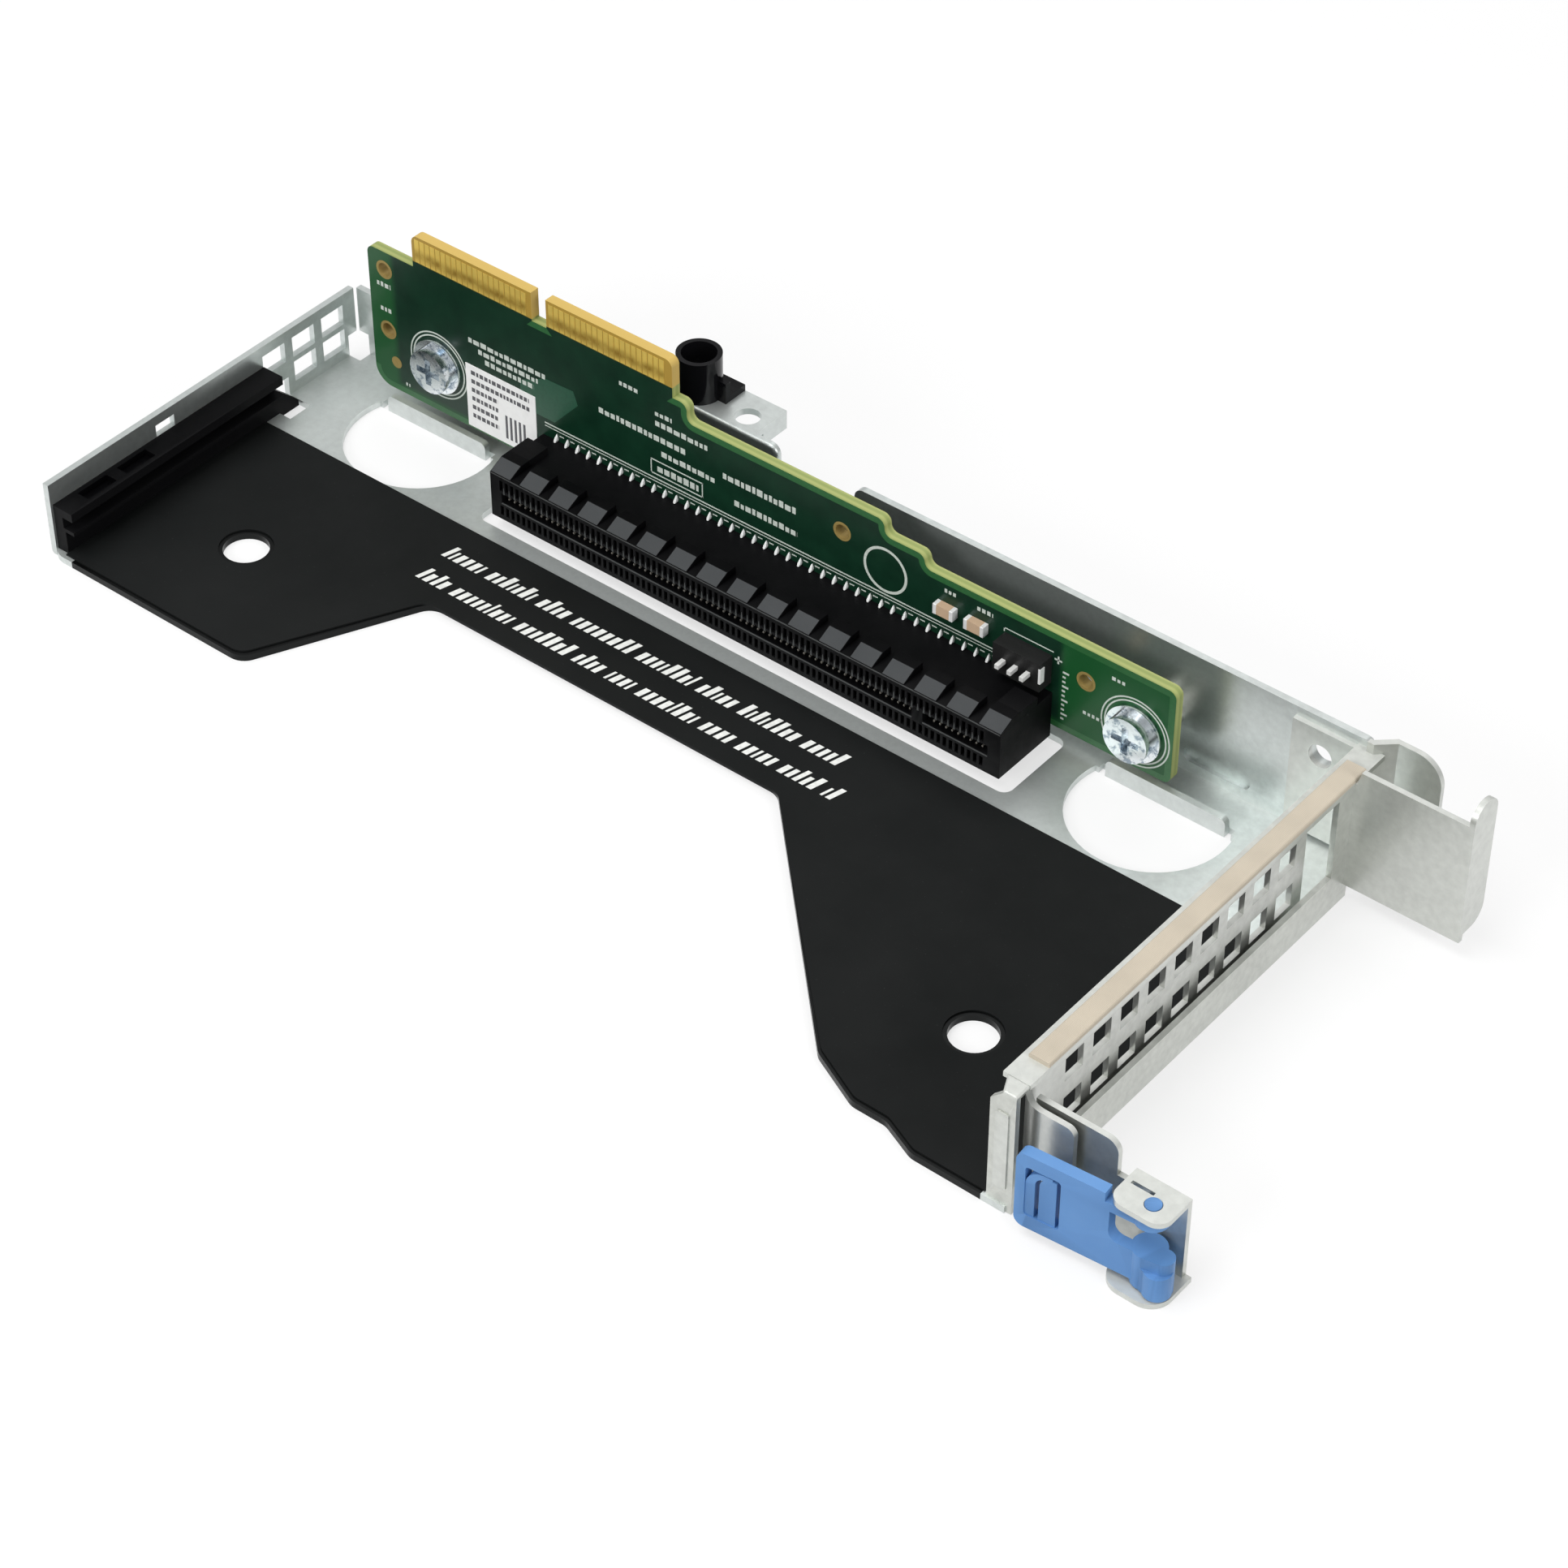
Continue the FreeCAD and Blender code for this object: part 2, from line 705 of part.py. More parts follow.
def add_chord_lips(body):
    """The low folded lips along the straight sides of the two round holes."""
    for side, x, y in (("left", -d.round_left_x, d.round_left_y),
                       ("right", round_right_x, d.round_right_y)):
        chord = y + d.chord_rise
        slab(body, "chord_lip_" + side, "XZ", chord, chord + d.tray_gauge, rectangle(
            x - d.chord_lip_half, x + d.chord_lip_half, plate_low, plate_top + d.chord_lip_rise))
        middle = chord + d.tray_gauge / 2
        top = plate_top + d.chord_lip_rise
        round_edges(body, "chord_lip_%s_corners" % side, d.chord_lip_corner, [
            (x - d.chord_lip_half, middle, top), (x + d.chord_lip_half, middle, top)])
        for end, low in (("first", x - d.chord_lip_half - d.lip_relief),
                         ("last", x + d.chord_lip_half)):
            slab(body, "lip_relief_%s_%s" % (side, end), "XY", plate_low, plate_top, rectangle(
                low, low + d.lip_relief, chord - d.lip_relief, chord + d.tray_gauge), cut=True)


def add_bead(body):
    """The oblong pressed outward in the back wall."""
    radius = (d.bead_height - d.bead_flat) / 2
    high = d.bead_low + d.bead_height
    slab(body, "bead_outside", "XZ", wall_out, wall_out + d.bead_press,
         round_rectangle(bead_start, bead_end, d.bead_low, high, radius))
    rim = d.bead_rim
    slab(body, "bead_inside", "XZ", wall_in, wall_in + d.bead_press, round_rectangle(
        bead_start + rim, bead_end - rim, d.bead_low + rim, high - rim, radius - rim), cut=True)


def make_film():
    """The thin insulating film that lies on the plate."""
    body = new_body("insulator_film")
    inset = d.film_inset
    slab(body, "film", "XY", plate_top, plate_top + d.film_thick, loop_of(
        (-d.film_left, -d.front_edge + inset), (-d.lip_end - inset, -d.front_edge + inset),
        (d.recess_left - inset, -d.recess_depth - inset),
        (recess_right + inset, -d.recess_depth - inset),
        (slant_end, -d.slant_end_depth + inset), (nose_left, -d.nose_depth + inset),
        (nose_right, -d.nose_depth + inset), (front_right, -d.front_right_depth + inset),
        (film_right, -d.front_right_depth + inset), (film_right, -d.film_back),
        (-d.film_left, -d.film_back)))
    middle = plate_top + d.film_thick / 2
    round_edges(body, "film_corners", d.film_corner, [
        (-d.lip_end - inset, -d.front_edge + inset, middle),
        (d.recess_left - inset, -d.recess_depth - inset, middle),
        (recess_right + inset, -d.recess_depth - inset, middle),
        (slant_end, -d.slant_end_depth + inset, middle), (nose_left, -d.nose_depth + inset, middle),
        (nose_right, -d.nose_depth + inset, middle),
        (front_right, -d.front_right_depth + inset, middle)])
    for side, x, y in (("left", -d.hole_left_x, -d.hole_left_y),
                       ("right", hole_right_x, -d.hole_right_y)):
        slab(body, "film_hole_" + side, "XY", plate_top, plate_top + d.film_thick,
             circle_at(x, y, d.plate_hole + d.film_hole_room), cut=True)


def make_card_guide():
    """The moulded rail on the left wall, with the groove for a card's edge and a hooked foot."""
    body = new_body("card_guide")
    inner = left_in + d.guide_width
    leg = left_in + d.guide_leg
    groove = inner - d.groove_depth
    groove_high = d.groove_low + d.groove_height
    slab(body, "rail", "XZ", -d.guide_front, -d.guide_back, loop_of(
        (left_in, plate_top), (leg, plate_top), (leg, d.guide_low), (inner, d.guide_low),
        (inner, d.groove_low), (groove, d.groove_low), (groove, groove_high),
        (inner, groove_high), (inner, d.guide_top), (left_in, d.guide_top)))
    slab(body, "foot", "YZ", left_in, leg, loop_of(
        (-d.guide_back, plate_top), (-d.foot_slot_start + d.foot_room, plate_top),
        (-d.foot_slot_start + d.foot_room, plate_low + d.foot_room),
        (d.foot_end, plate_low + d.foot_room), (d.foot_end, plate_top + d.foot_room),
        (-d.guide_back, d.groove_low)))
    for name, start in (("first", d.pocket_first), ("second", d.pocket_second)):
        low = -d.guide_front + start
        slab(body, "pocket_" + name, "XY", groove_high + d.pocket_floor, d.guide_top, rectangle(
            left_in + d.pocket_rim, inner - d.pocket_rim, low, low + d.pocket_length), cut=True)


def make_board():
    """The riser board: a stepped outline with two edge connector tongues."""
    body = new_body("riser_board")
    slab(body, "board", "XZ", board_front, board_back, loop_of(
        (-d.board_left, d.board_low), (board_right, d.board_low),
        (board_right, d.board_right_height), (d.step_three_right, d.board_right_height),
        (d.step_three_right, d.step_three_height), (d.step_two_right, d.step_three_height),
        (d.step_two_right, d.step_two_height), (d.step_one_right, d.step_two_height),
        (d.step_one_right, d.step_one_height), (d.edge_end, d.step_one_height),
        (d.edge_end, d.edge_height), (d.edge_notch_right, d.edge_height),
        (d.edge_notch_right, d.edge_notch_low), (-d.edge_notch_left, d.edge_notch_low),
        (-d.edge_notch_left, d.edge_height), (-d.edge_start, d.edge_height),
        (-d.edge_start, d.shoulder_height), (-d.board_left, d.shoulder_height)))
    middle = board_front + d.board_thick / 2
    round_edges(body, "board_corners", d.board_corner, [
        (x, middle, z) for x, z in (
            (board_right, d.board_low), (board_right, d.board_right_height),
            (d.step_three_right, d.step_three_height), (d.step_two_right, d.step_two_height),
            (d.step_one_right, d.step_one_height), (-d.board_left, d.shoulder_height),
            (d.edge_end, d.edge_height), (-d.edge_start, d.edge_height))])
    round_edges(body, "board_step_rounds", d.step_round, [
        (d.step_three_right, middle, d.board_right_height),
        (d.step_two_right, middle, d.step_three_height),
        (d.step_one_right, middle, d.step_two_height)])
    round_edges(body, "board_low_corner", d.board_low_corner, [
        (-d.board_left, middle, d.board_low)])
    for side, x, z in (("left", -d.screw_left_x, d.screw_left_z),
                       ("right", screw_right_x, d.screw_right_z)):
        slab(body, "screw_hole_" + side, "XZ", board_front, board_back,
             circle_at(x, z, d.screw_shank + d.screw_hole_room), cut=True)
    inset_x = -d.board_left + d.tooling_inset
    for name, x, z in (
            ("high", inset_x, d.shoulder_height - d.tooling_inset),
            ("middle", inset_x, d.screw_left_z + d.tooling_over_left),
            ("right", screw_right_x - d.tooling_from_right, d.screw_right_z + d.tooling_over_right),
            ("step", d.step_two_right - d.tooling_from_step,
             d.step_two_height - d.tooling_below_step)):
        slab(body, "tooling_hole_" + name, "XZ", board_front, board_back,
             circle_at(x, z, d.tooling_hole), cut=True)


def make_slot_housing():
    """The card slot's moulded housing with its row of ventilated teeth."""
    body = new_body("slot_housing")
    slab(body, "block", "XY", ZERO, d.slot_height, rectangle(ZERO, d.slot_length, ZERO, board_front))
    tooth_top = d.slot_height + d.tooth_rise
    tooth = slab(body, "tooth", "YZ", ZERO, d.tooth_width, loop_of(
        (ZERO, d.slot_height), (d.tooth_back, d.slot_height), (d.tooth_back, tooth_top),
        (d.tooth_slope, tooth_top)))
    repeat(body, "teeth", tooth, "X", d.slot_length - d.tooth_width, d.tooth_count)
    for side, low in (("left", ZERO), ("right", d.slot_length - d.tooth_width)):
        slab(body, "end_block_" + side, "XY", d.slot_height, tooth_top,
             rectangle(low, low + d.tooth_width, d.tooth_back, d.end_block_back))
    slit_top = d.slit_low + d.slit_height
    for name, low, high in (
            ("long", d.slit_end_wall, key_left),
            ("short", key_left + d.key_width, d.slot_length - d.slit_end_wall)):
        slab(body, "slit_" + name, "XZ", ZERO, d.slit_depth,
             rectangle(low, high, d.slit_low, slit_top), cut=True)


def cylinder(name, x, y, z, radius, height, along="Z"):
    """A bound cylinder that runs up, or towards the back with along Y."""
    shape = document.addObject("Part::Cylinder", name)
    bind(shape, "Radius", radius)
    bind(shape, "Height", height)
    if along == "Y":
        shape.Placement = FreeCAD.Placement(
            FreeCAD.Vector(0, 0, 0), FreeCAD.Rotation(FreeCAD.Vector(1, 0, 0), -90))
    bind(shape, "Placement.Base.x", x)
    bind(shape, "Placement.Base.y", y)
    bind(shape, "Placement.Base.z", z)
    return shape


def block(name, x_low, x_high, y_low, y_high, z_low, z_high):
    """A bound box between six faces."""
    shape = document.addObject("Part::Box", name)
    for prop, low, high in (("Length", x_low, x_high), ("Width", y_low, y_high),
                            ("Height", z_low, z_high)):
        bind(shape, prop, as_size(high) - low)
    bind(shape, "Placement.Base.x", x_low)
    bind(shape, "Placement.Base.y", y_low)
    bind(shape, "Placement.Base.z", z_low)
    return shape


def plain_block(label, x_low, x_high, y_low, y_high, z_low, z_high):
    """A sub-part that is one box between six faces."""
    place(block(label, x_low, x_high, y_low, y_high, z_low, z_high), label, (x_low, y_low, z_low))


def join(name, shapes):
    """One solid out of several."""
    whole = document.addObject("Part::MultiFuse", name)
    whole.Shapes = shapes
    whole.Refine = True
    return whole


def cut(name, base, tool):
    """The base without the tool."""
    rest = document.addObject("Part::Cut", name)
    rest.Base = base
    rest.Tool = tool
    return rest


def make_screw(side, x, z):
    """A board screw: washer, head with a cross recess, and shank in its standoff."""
    name = "board_screw_" + side
    face = board_front - d.screw_head_height
    washer = cylinder(name + "_washer", x, board_front - d.screw_washer, z, d.screw_head,
                      d.screw_washer, "Y")
    head = cylinder(name + "_head", x, face, z, d.screw_top, d.screw_head_height, "Y")
    shank = cylinder(name + "_shank", x, face, z, d.screw_shank,
                     d.screw_head_height + d.board_thick + d.screw_reach, "Y")
    solid = join(name + "_solid", [washer, head, shank])
    arm = d.cross_arm
    slot = d.cross_half
    deep = face + d.cross_depth
    recess = join(name + "_cross", [
        block(name + "_arm_level", x - arm, x + arm, face, deep, z - slot, z + slot),
        block(name + "_arm_upright", x - slot, x + slot, face, deep, z - arm, z + arm)])
    place(cut(name, solid, recess), name)


def make_standoff(side, x, z):
    """A tubular standoff from the back wall to the board."""
    name = "standoff_" + side
    tube = cylinder(name + "_tube", x, board_back, z, d.standoff_outer, d.standoff_length, "Y")
    bore = cylinder(name + "_bore", x, board_back, z, d.screw_shank + d.shank_room,
                    d.standoff_length, "Y")
    place(cut(name, tube, bore), name)


def make_guide_boss():
    """The moulded guide boss on the rear flange, with its foot and its fin."""
    name = "guide_boss"
    y = wall_in + d.boss_back
    bore_radius = d.boss_outer - d.boss_wall
    post = cylinder(name + "_post", d.boss_x, y, flange_top, d.boss_outer, d.boss_height)
    foot = block(name + "_foot", d.boss_x - d.boss_outer, d.boss_x + d.boss_foot_side,
                 y, y + d.boss_foot_back, flange_top, flange_top + d.boss_foot_height)
    fin = block(name + "_fin", d.boss_x + d.boss_outer - d.boss_wall / 2,
                d.boss_x + d.boss_foot_side, y, y + d.boss_fin,
                flange_top, flange_top + d.boss_fin_height)
    bore = cylinder(name + "_bore", d.boss_x, y, flange_top, bore_radius, d.boss_height)
    place(cut(name, join(name + "_solid", [post, foot, fin]), bore), name)


def make_bracket():
    """The folded bracket at the card's outer end, with the shelf and the hinge ears."""
    body = new_body("io_bracket")
    x_in, x_out = bracket_in, bracket_x
    top = d.bracket_height
    top_low = top - d.bracket_gauge
    ear_back = -d.ear_front + d.bracket_gauge
    slab(body, "wall", "YZ", x_in, x_out, loop_of(
        (-d.ear_front, plate_low), (d.bracket_back, plate_low), (d.bracket_back, top),
        (-d.top_flange_front, top), (-d.top_flange_front, top_low), (d.window_back, top_low),
        (d.window_back, strip_top), (-d.ear_front, strip_top)))
    flange_left = x_out - d.top_flange_width
    slab(body, "top_flange", "XY", top_low, top,
         rectangle(flange_left, x_out, -d.top_flange_front, wall_in))
    overlap_front = wall_in - d.bracket_gauge
    slab(body, "overlap", "XZ", overlap_front, wall_in, loop_of(
        (overlap_start, plate_top + d.overlap_lift), (back_wall_end, plate_top + d.overlap_lift),
        (back_wall_end, top), (flange_left, top), (flange_left, top - d.overlap_drop),
        (overlap_start, top - d.overlap_drop)))
    slab(body, "overlap_hole", "XZ", overlap_front, wall_in,
         circle_at(overlap_hole_x, d.overlap_hole_z, d.overlap_hole), cut=True)
    bend = back_wall_end
    ease = d.joggle_ease
    slab(body, "joggle", "XY", d.joggle_low, d.joggle_height, loop_of(
        (bend - ease, overlap_front), (bend + ease, overlap_front),
        (bend + d.joggle_run + ease, overlap_front + d.joggle_step),
        (joggle_end, overlap_front + d.joggle_step), (joggle_end, wall_in + d.joggle_step),
        (bend + d.joggle_run, wall_in + d.joggle_step), (bend, wall_in), (bend - ease, wall_in)))
    tab_front = d.bracket_back - d.bracket_gauge
    slab(body, "side_tab", "XZ", tab_front, d.bracket_back, loop_of(
        (x_in, d.side_tab_low), (side_tab_end, d.side_tab_low),
        (side_tab_end, d.side_tab_height), (x_out + d.bracket_gauge, d.side_tab_height),
        (x_out + d.side_tab_ease, top), (x_in, top)))
    slab(body, "side_flange", "YZ", side_tab_end - d.bracket_gauge, side_tab_end, rectangle(
        tab_front, d.side_flange_back, d.side_flange_low, d.side_flange_height))
    slab(body, "front_ear", "XZ", -d.ear_front, ear_back, loop_of(
        (x_out - d.ear_width, plate_top), (x_in, plate_top), (x_in, plate_low),
        (x_out, plate_low), (x_out, d.ear_height),
        (x_out - d.ear_width + d.ear_corner, d.ear_height),
        (x_out - d.ear_width, d.ear_height - d.ear_corner)))
    slab(body, "ear_emboss", "XZ", -d.ear_front - d.emboss_rise, -d.ear_front, round_rectangle(
        x_out - d.ear_width + d.emboss_rim, x_out - d.emboss_rim,
        d.emboss_low, d.emboss_height, d.emboss_corner))
    slab(body, "shelf", "XZ", -d.shelf_front, shelf_back, loop_of(
        (x_in, plate_low), (hinge_end, plate_low), (hinge_end, d.hinge_height),
        (hinge_start, d.hinge_height), (hinge_start, d.shelf_dip),
        (shelf_tall_end, d.shelf_dip), (shelf_tall_end, d.shelf_height),
        (x_out, d.shelf_height), (x_out, strip_top), (x_in, strip_top)))
    ear_low = d.hinge_height - d.bracket_gauge
    slab(body, "upper_ear", "XY", ear_low, d.hinge_height, rectangle(
        hinge_start, hinge_end, -d.hinge_front, shelf_back))
    slab(body, "lower_ear", "XY", plate_low, plate_low + d.bracket_gauge, rectangle(
        hinge_start, lower_ear_end, -d.lower_ear_front, shelf_back))
    slab(body, "ear_slit", "XY", ear_low, d.hinge_height, rectangle(
        hinge_start + d.ear_slit_start, hinge_start + d.ear_slit_start + d.ear_slit_length,
        -d.ear_slit_back - d.ear_slit_width, -d.ear_slit_back), cut=True)
    hole = d.pin_radius + d.pin_room
    for name, low in (("upper", ear_low), ("lower", plate_low)):
        slab(body, "pin_hole_" + name, "XY", low, low + d.bracket_gauge,
             circle_at(pivot_x, -d.pivot_y, hole), cut=True)
    joggle_middle = wall_in + d.joggle_step - d.bracket_gauge / 2
    tab_middle = d.bracket_back - d.bracket_gauge / 2
    flange_middle = side_tab_end - d.bracket_gauge / 2
    round_edges(body, "joggle_corner_round", d.joggle_corner, [
        (joggle_end, joggle_middle, d.joggle_height)])
    round_edges(body, "side_corners", d.side_flange_corner, [
        (flange_middle, tab_front, d.side_flange_height),
        (flange_middle, d.side_flange_back, d.side_flange_height),
        (flange_middle, d.side_flange_back, d.side_flange_low)])
    round_edges(body, "shelf_corners", d.shelf_corner, [
        (shelf_tall_end, shelf_back - d.bracket_gauge / 2, d.shelf_height)])
    round_edges(body, "hinge_corners", d.hinge_corner, [
        (hinge_start, -d.hinge_front, ear_low + d.bracket_gauge / 2),
        (hinge_end, -d.hinge_front, ear_low + d.bracket_gauge / 2)])
    ear_middle = plate_low + d.bracket_gauge / 2
    round_edges(body, "lower_ear_corners", d.lower_ear_corner, [
        (hinge_start, -d.lower_ear_front, ear_middle),
        (lower_ear_end, -d.lower_ear_front, ear_middle)])


def make_blank():
    """The perforated slot blank, with its front end curled into a tab."""
    body = new_body("slot_blank")
    x_low = bracket_in - d.blank_room - d.blank_gauge
    x_high = x_low + d.blank_gauge
    top = d.bracket_height - d.bracket_gauge - d.blank_top_room
    curl = -d.blank_curl_start
    slab(body, "panel", "YZ", x_low, x_high, rectangle(curl, d.blank_back, plate_top, top))
    outer = d.blank_curl + d.blank_gauge
    turn_x = x_high + d.blank_curl
    slab(body, "curl", "XY", d.blank_tab_low, d.blank_tab_height, loop_of(
        (x_low, curl, (outer, 1)), (turn_x, curl - outer), (blank_tab_end, curl - outer),
        (blank_tab_end, curl - d.blank_curl), (turn_x, curl - d.blank_curl, (d.blank_curl, -1)),
        (x_high, curl)))
    for row_name, low in (("low", d.blank_vent_low), ("high", d.blank_vent_low + d.blank_vent_rise)):
        start = -d.blank_vent_first - d.blank_vent_width / 2
        half = d.blank_vent_height / 2
        vent = slab(body, "vent_" + row_name, "YZ", x_low, x_high,
                    rectangle(start, start + d.blank_vent_width, low - half, low + half), cut=True)
        repeat(body, "vents_" + row_name, vent, "Y",
               d.blank_vent_pitch * (d.blank_vent_count - 1), d.blank_vent_count)
    tab_middle = curl - d.blank_curl - d.blank_gauge / 2
    round_edges(body, "blank_corner_round", d.blank_corner, [
        (x_low + d.blank_gauge / 2, d.blank_back, plate_top)])
    round_edges(body, "blank_tab_round", d.blank_tab_corner, [
        (blank_tab_end, tab_middle, d.blank_tab_height)])


def make_gasket():
    """The fabric-covered contact gasket along the bracket's top flange."""
    body = new_body("emi_gasket")
    low, high = d.bracket_height, d.bracket_height + d.gasket_thick
    left = bracket_x - d.gasket_width
    slab(body, "strip", "XY", low, high,
         rectangle(left, bracket_x, -d.gasket_front, d.gasket_back))
    middle = (d.gasket_back - d.gasket_front) / 2
    round_edges(body, "soft_edges", d.gasket_round, [
        (left, middle, high), (bracket_x, middle, high)])


def make_lever():
    """The moulded latch lever, drawn round its hinge: paddle, grip, arms, lower body and pins."""
    body = new_body("latch_lever", (pivot_x, -d.pivot_y, ZERO))
    upright = FreeCAD.Rotation(FreeCAD.Vector(0, 0, 1), d.lever_ajar.value)
    body.Placement = FreeCAD.Placement(body.Placement.Base, upright)
    bind(body, "Placement.Rotation.Angle", d.lever_ajar)
    y_front = -d.lever_front
    y_back = y_front + d.lever_thick
    left, right = -d.lever_end, -d.lever_shoulder
    arm_top = d.hinge_height - d.bracket_gauge - d.hinge_room
    arm_low = arm_top - d.arm_thick
    rest, blend = d.barrel_height, d.lever_blend
    slab(body, "paddle", "XZ", y_front, y_back, loop_of(
        (left, -d.lever_low), (ZERO, -d.lever_low), (ZERO, rest),
        (right + blend, rest, (blend, -1)), (right, rest + blend), (right, arm_top),
        (-d.lever_neck, arm_top), (-d.lever_neck, d.lever_height), (left, d.lever_height)))
    middle = (y_front + y_back) / 2
    round_edges(body, "paddle_corners", d.lever_corner, [
        (left, middle, -d.lever_low), (left, middle, d.lever_height)])
    add_grip(body, y_front, y_back)
    slab(body, "upper_arm", "XY", arm_low, arm_top, rectangle(
        right - d.lever_corner, ZERO, y_front, y_back))
    slab(body, "upper_barrel", "XY", arm_low, arm_top, circle_at(ZERO, ZERO, d.barrel_radius))
    bottom = plate_low + d.bracket_gauge + d.hinge_room
    add_lower_body(body, bottom)
    slab(body, "upper_pin", "XY", arm_top, d.hinge_height + d.pin_stand,
         circle_at(ZERO, ZERO, d.pin_radius))
    slab(body, "lower_pin", "XY", plate_low + d.pin_end_room, bottom,
         circle_at(ZERO, ZERO, d.pin_radius))


def add_grip(body, y_front, y_back):
    """The finger grip in the paddle's window: a tongue and an arched rib beside it."""
    slab(body, "grip_window", "XZ", y_front, y_back, round_rectangle(
        -d.grip_left, -d.grip_right, d.grip_low, d.grip_height, d.grip_corner), cut=True)
    face = y_front + d.grip_inset
    foot = d.grip_low - d.grip_corner
    rib_in = -d.grip_left + d.rib_width
    tongue_left = rib_in + d.tongue_gap
    tongue_right = -d.grip_right - d.tongue_gap
    arch_low = d.rib_top - d.rib_thick
    bend = d.tongue_round
    slab(body, "tongue", "XZ", face, y_back, loop_of(
        (tongue_left, foot), (tongue_right, foot), (tongue_right, d.tongue_top),
        (tongue_left + bend, d.tongue_top, (bend, 1)), (tongue_left, d.tongue_top - bend)))
    outer, inner = d.rib_round, d.rib_inner_round
    slab(body, "rib", "XZ", face, y_back, loop_of(
        (-d.grip_left, foot), (rib_in, foot), (rib_in, arch_low - inner, (inner, -1)),
        (rib_in + inner, arch_low), (tongue_right - d.tongue_gap, arch_low),
        (tongue_right - d.tongue_gap, d.rib_top), (-d.grip_left + outer, d.rib_top, (outer, 1)),
        (-d.grip_left, d.rib_top - outer)))


def add_lower_body(body, bottom):
    """The lever's lower barrel, with the heel that reaches out past the hinge."""
    barrel = d.barrel_radius
    slab(body, "lower_barrel", "XY", bottom, d.barrel_height, circle_at(ZERO, ZERO, barrel))
    for name, x, y, radius, top in (
            ("heel", d.heel_x, d.heel_y, d.heel_radius, d.heel_height),
            ("swell", d.swell_x, d.swell_y, d.swell_radius, d.barrel_height)):
        slab(body, name + "_web", "XY", bottom, top, loop_of(
            (ZERO, -barrel), (x, -y - radius), (x + radius, -y), (x, -y + radius), (ZERO, ZERO)))
        slab(body, name, "XY", bottom, top, circle_at(x, -y, radius))


def make_label():
    """The paper label on the board's left end."""
    plain_block("board_label", -d.label_left, -d.label_right,
                board_front - d.label_thick, board_front, d.label_low, d.label_height)


def make_header():
    """The small header block on the board, and its pins."""
    front = board_front - d.header_depth
    shell = block("header_shell", header_left, header_right, front, board_front,
                  d.header_low, d.header_height)
    half = d.header_pin / 2
    middle = (header_left + header_right) / 2
    z = (d.header_low + d.header_height) / 2
    first = middle - d.header_pin_pitch * (d.header_pin_count - 1) / 2
    sockets = []
    for number in range(int(d.header_pin_count.value)):
        x = first + d.header_pin_pitch * number
        sockets.append(block("header_socket_%d" % (number + 1), x - half, x + half,
                             front, board_front, z - half, z + half))
        plain_block("header_pin_%d" % (number + 1), x - half, x + half,
                    front - d.header_pin_reach, board_front, z - half, z + half)
    place(cut("header_cut", shell, join("header_sockets", sockets)), "header_block")


def make_chip(side, x):
    """A chip capacitor."""
    half_length, half_height = d.chip_length / 2, d.chip_height / 2
    plain_block("chip_capacitor_" + side, x - half_length, x + half_length,
                board_front - d.chip_depth, board_front, d.chip_z - half_height,
                d.chip_z + half_height)


make_tray()
make_film()
make_card_guide()
make_board()
for side, x, z in (("left", -d.screw_left_x, d.screw_left_z),
                   ("right", screw_right_x, d.screw_right_z)):
    make_screw(side, x, z)
    make_standoff(side, x, z)
make_slot_housing()
make_guide_boss()
make_bracket()
make_blank()
make_gasket()
make_lever()
make_label()
make_header()
make_chip("left", chip_left_x)
make_chip("right", chip_right_x)
document.recompute()

failed = [item.Name for item in document.Objects if "Invalid" in item.State or "Error" in item.State]
failed += [item.Label for item in parts if item.Shape.isNull() or not item.Shape.isValid()]
if failed:
    raise RuntimeError("These features failed: " + ", ".join(failed))

os.makedirs("parts", exist_ok=True)
for item in parts:
    item.Shape.exportStep("parts/%s.step" % item.Label)
    print(item.Label, len(item.Shape.Solids), round(item.Shape.Volume, 2))
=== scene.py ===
import math
import random

import bmesh
import bpy
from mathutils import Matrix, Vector


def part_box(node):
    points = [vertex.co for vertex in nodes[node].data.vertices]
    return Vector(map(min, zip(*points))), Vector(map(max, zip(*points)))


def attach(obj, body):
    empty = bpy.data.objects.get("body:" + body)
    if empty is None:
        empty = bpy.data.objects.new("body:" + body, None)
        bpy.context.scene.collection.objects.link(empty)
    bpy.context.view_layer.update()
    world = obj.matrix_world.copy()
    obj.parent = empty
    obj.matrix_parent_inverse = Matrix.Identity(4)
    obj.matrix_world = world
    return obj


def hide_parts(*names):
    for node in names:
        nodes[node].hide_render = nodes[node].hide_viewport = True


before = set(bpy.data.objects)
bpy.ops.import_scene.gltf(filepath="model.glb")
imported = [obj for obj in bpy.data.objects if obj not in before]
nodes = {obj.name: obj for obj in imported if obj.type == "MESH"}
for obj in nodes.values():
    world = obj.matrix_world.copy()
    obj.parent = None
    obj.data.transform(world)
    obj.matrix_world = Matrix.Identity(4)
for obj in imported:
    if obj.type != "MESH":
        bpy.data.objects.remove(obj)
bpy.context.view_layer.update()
random.seed(7)

# Every place below is in millimetres from the slot housing's left end, mouth and underside.
MM = 0.001
DATUM = Vector(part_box("slot_housing")[0])
SLOT_SIZE = (Vector(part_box("slot_housing")[1]) - DATUM) / MM
BOARD_FRONT = (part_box("riser_board")[0][1] - DATUM.y) / MM
BOARD_BACK = (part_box("riser_board")[1][1] - DATUM.y) / MM
FILM_TOP = (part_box("insulator_film")[1][2] - DATUM.z) / MM

# A gap, an overlap or a lift that is too small to see.
HAIR = 0.02


def at(x, y, z):
    """A place in the frame, in metres."""
    return DATUM + Vector((x, y, z)) * MM


def box_of(name):
    """A node's lowest and highest corners, in millimetres from the datum."""
    return [Vector(corner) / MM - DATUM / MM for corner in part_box(name)]


# Camera

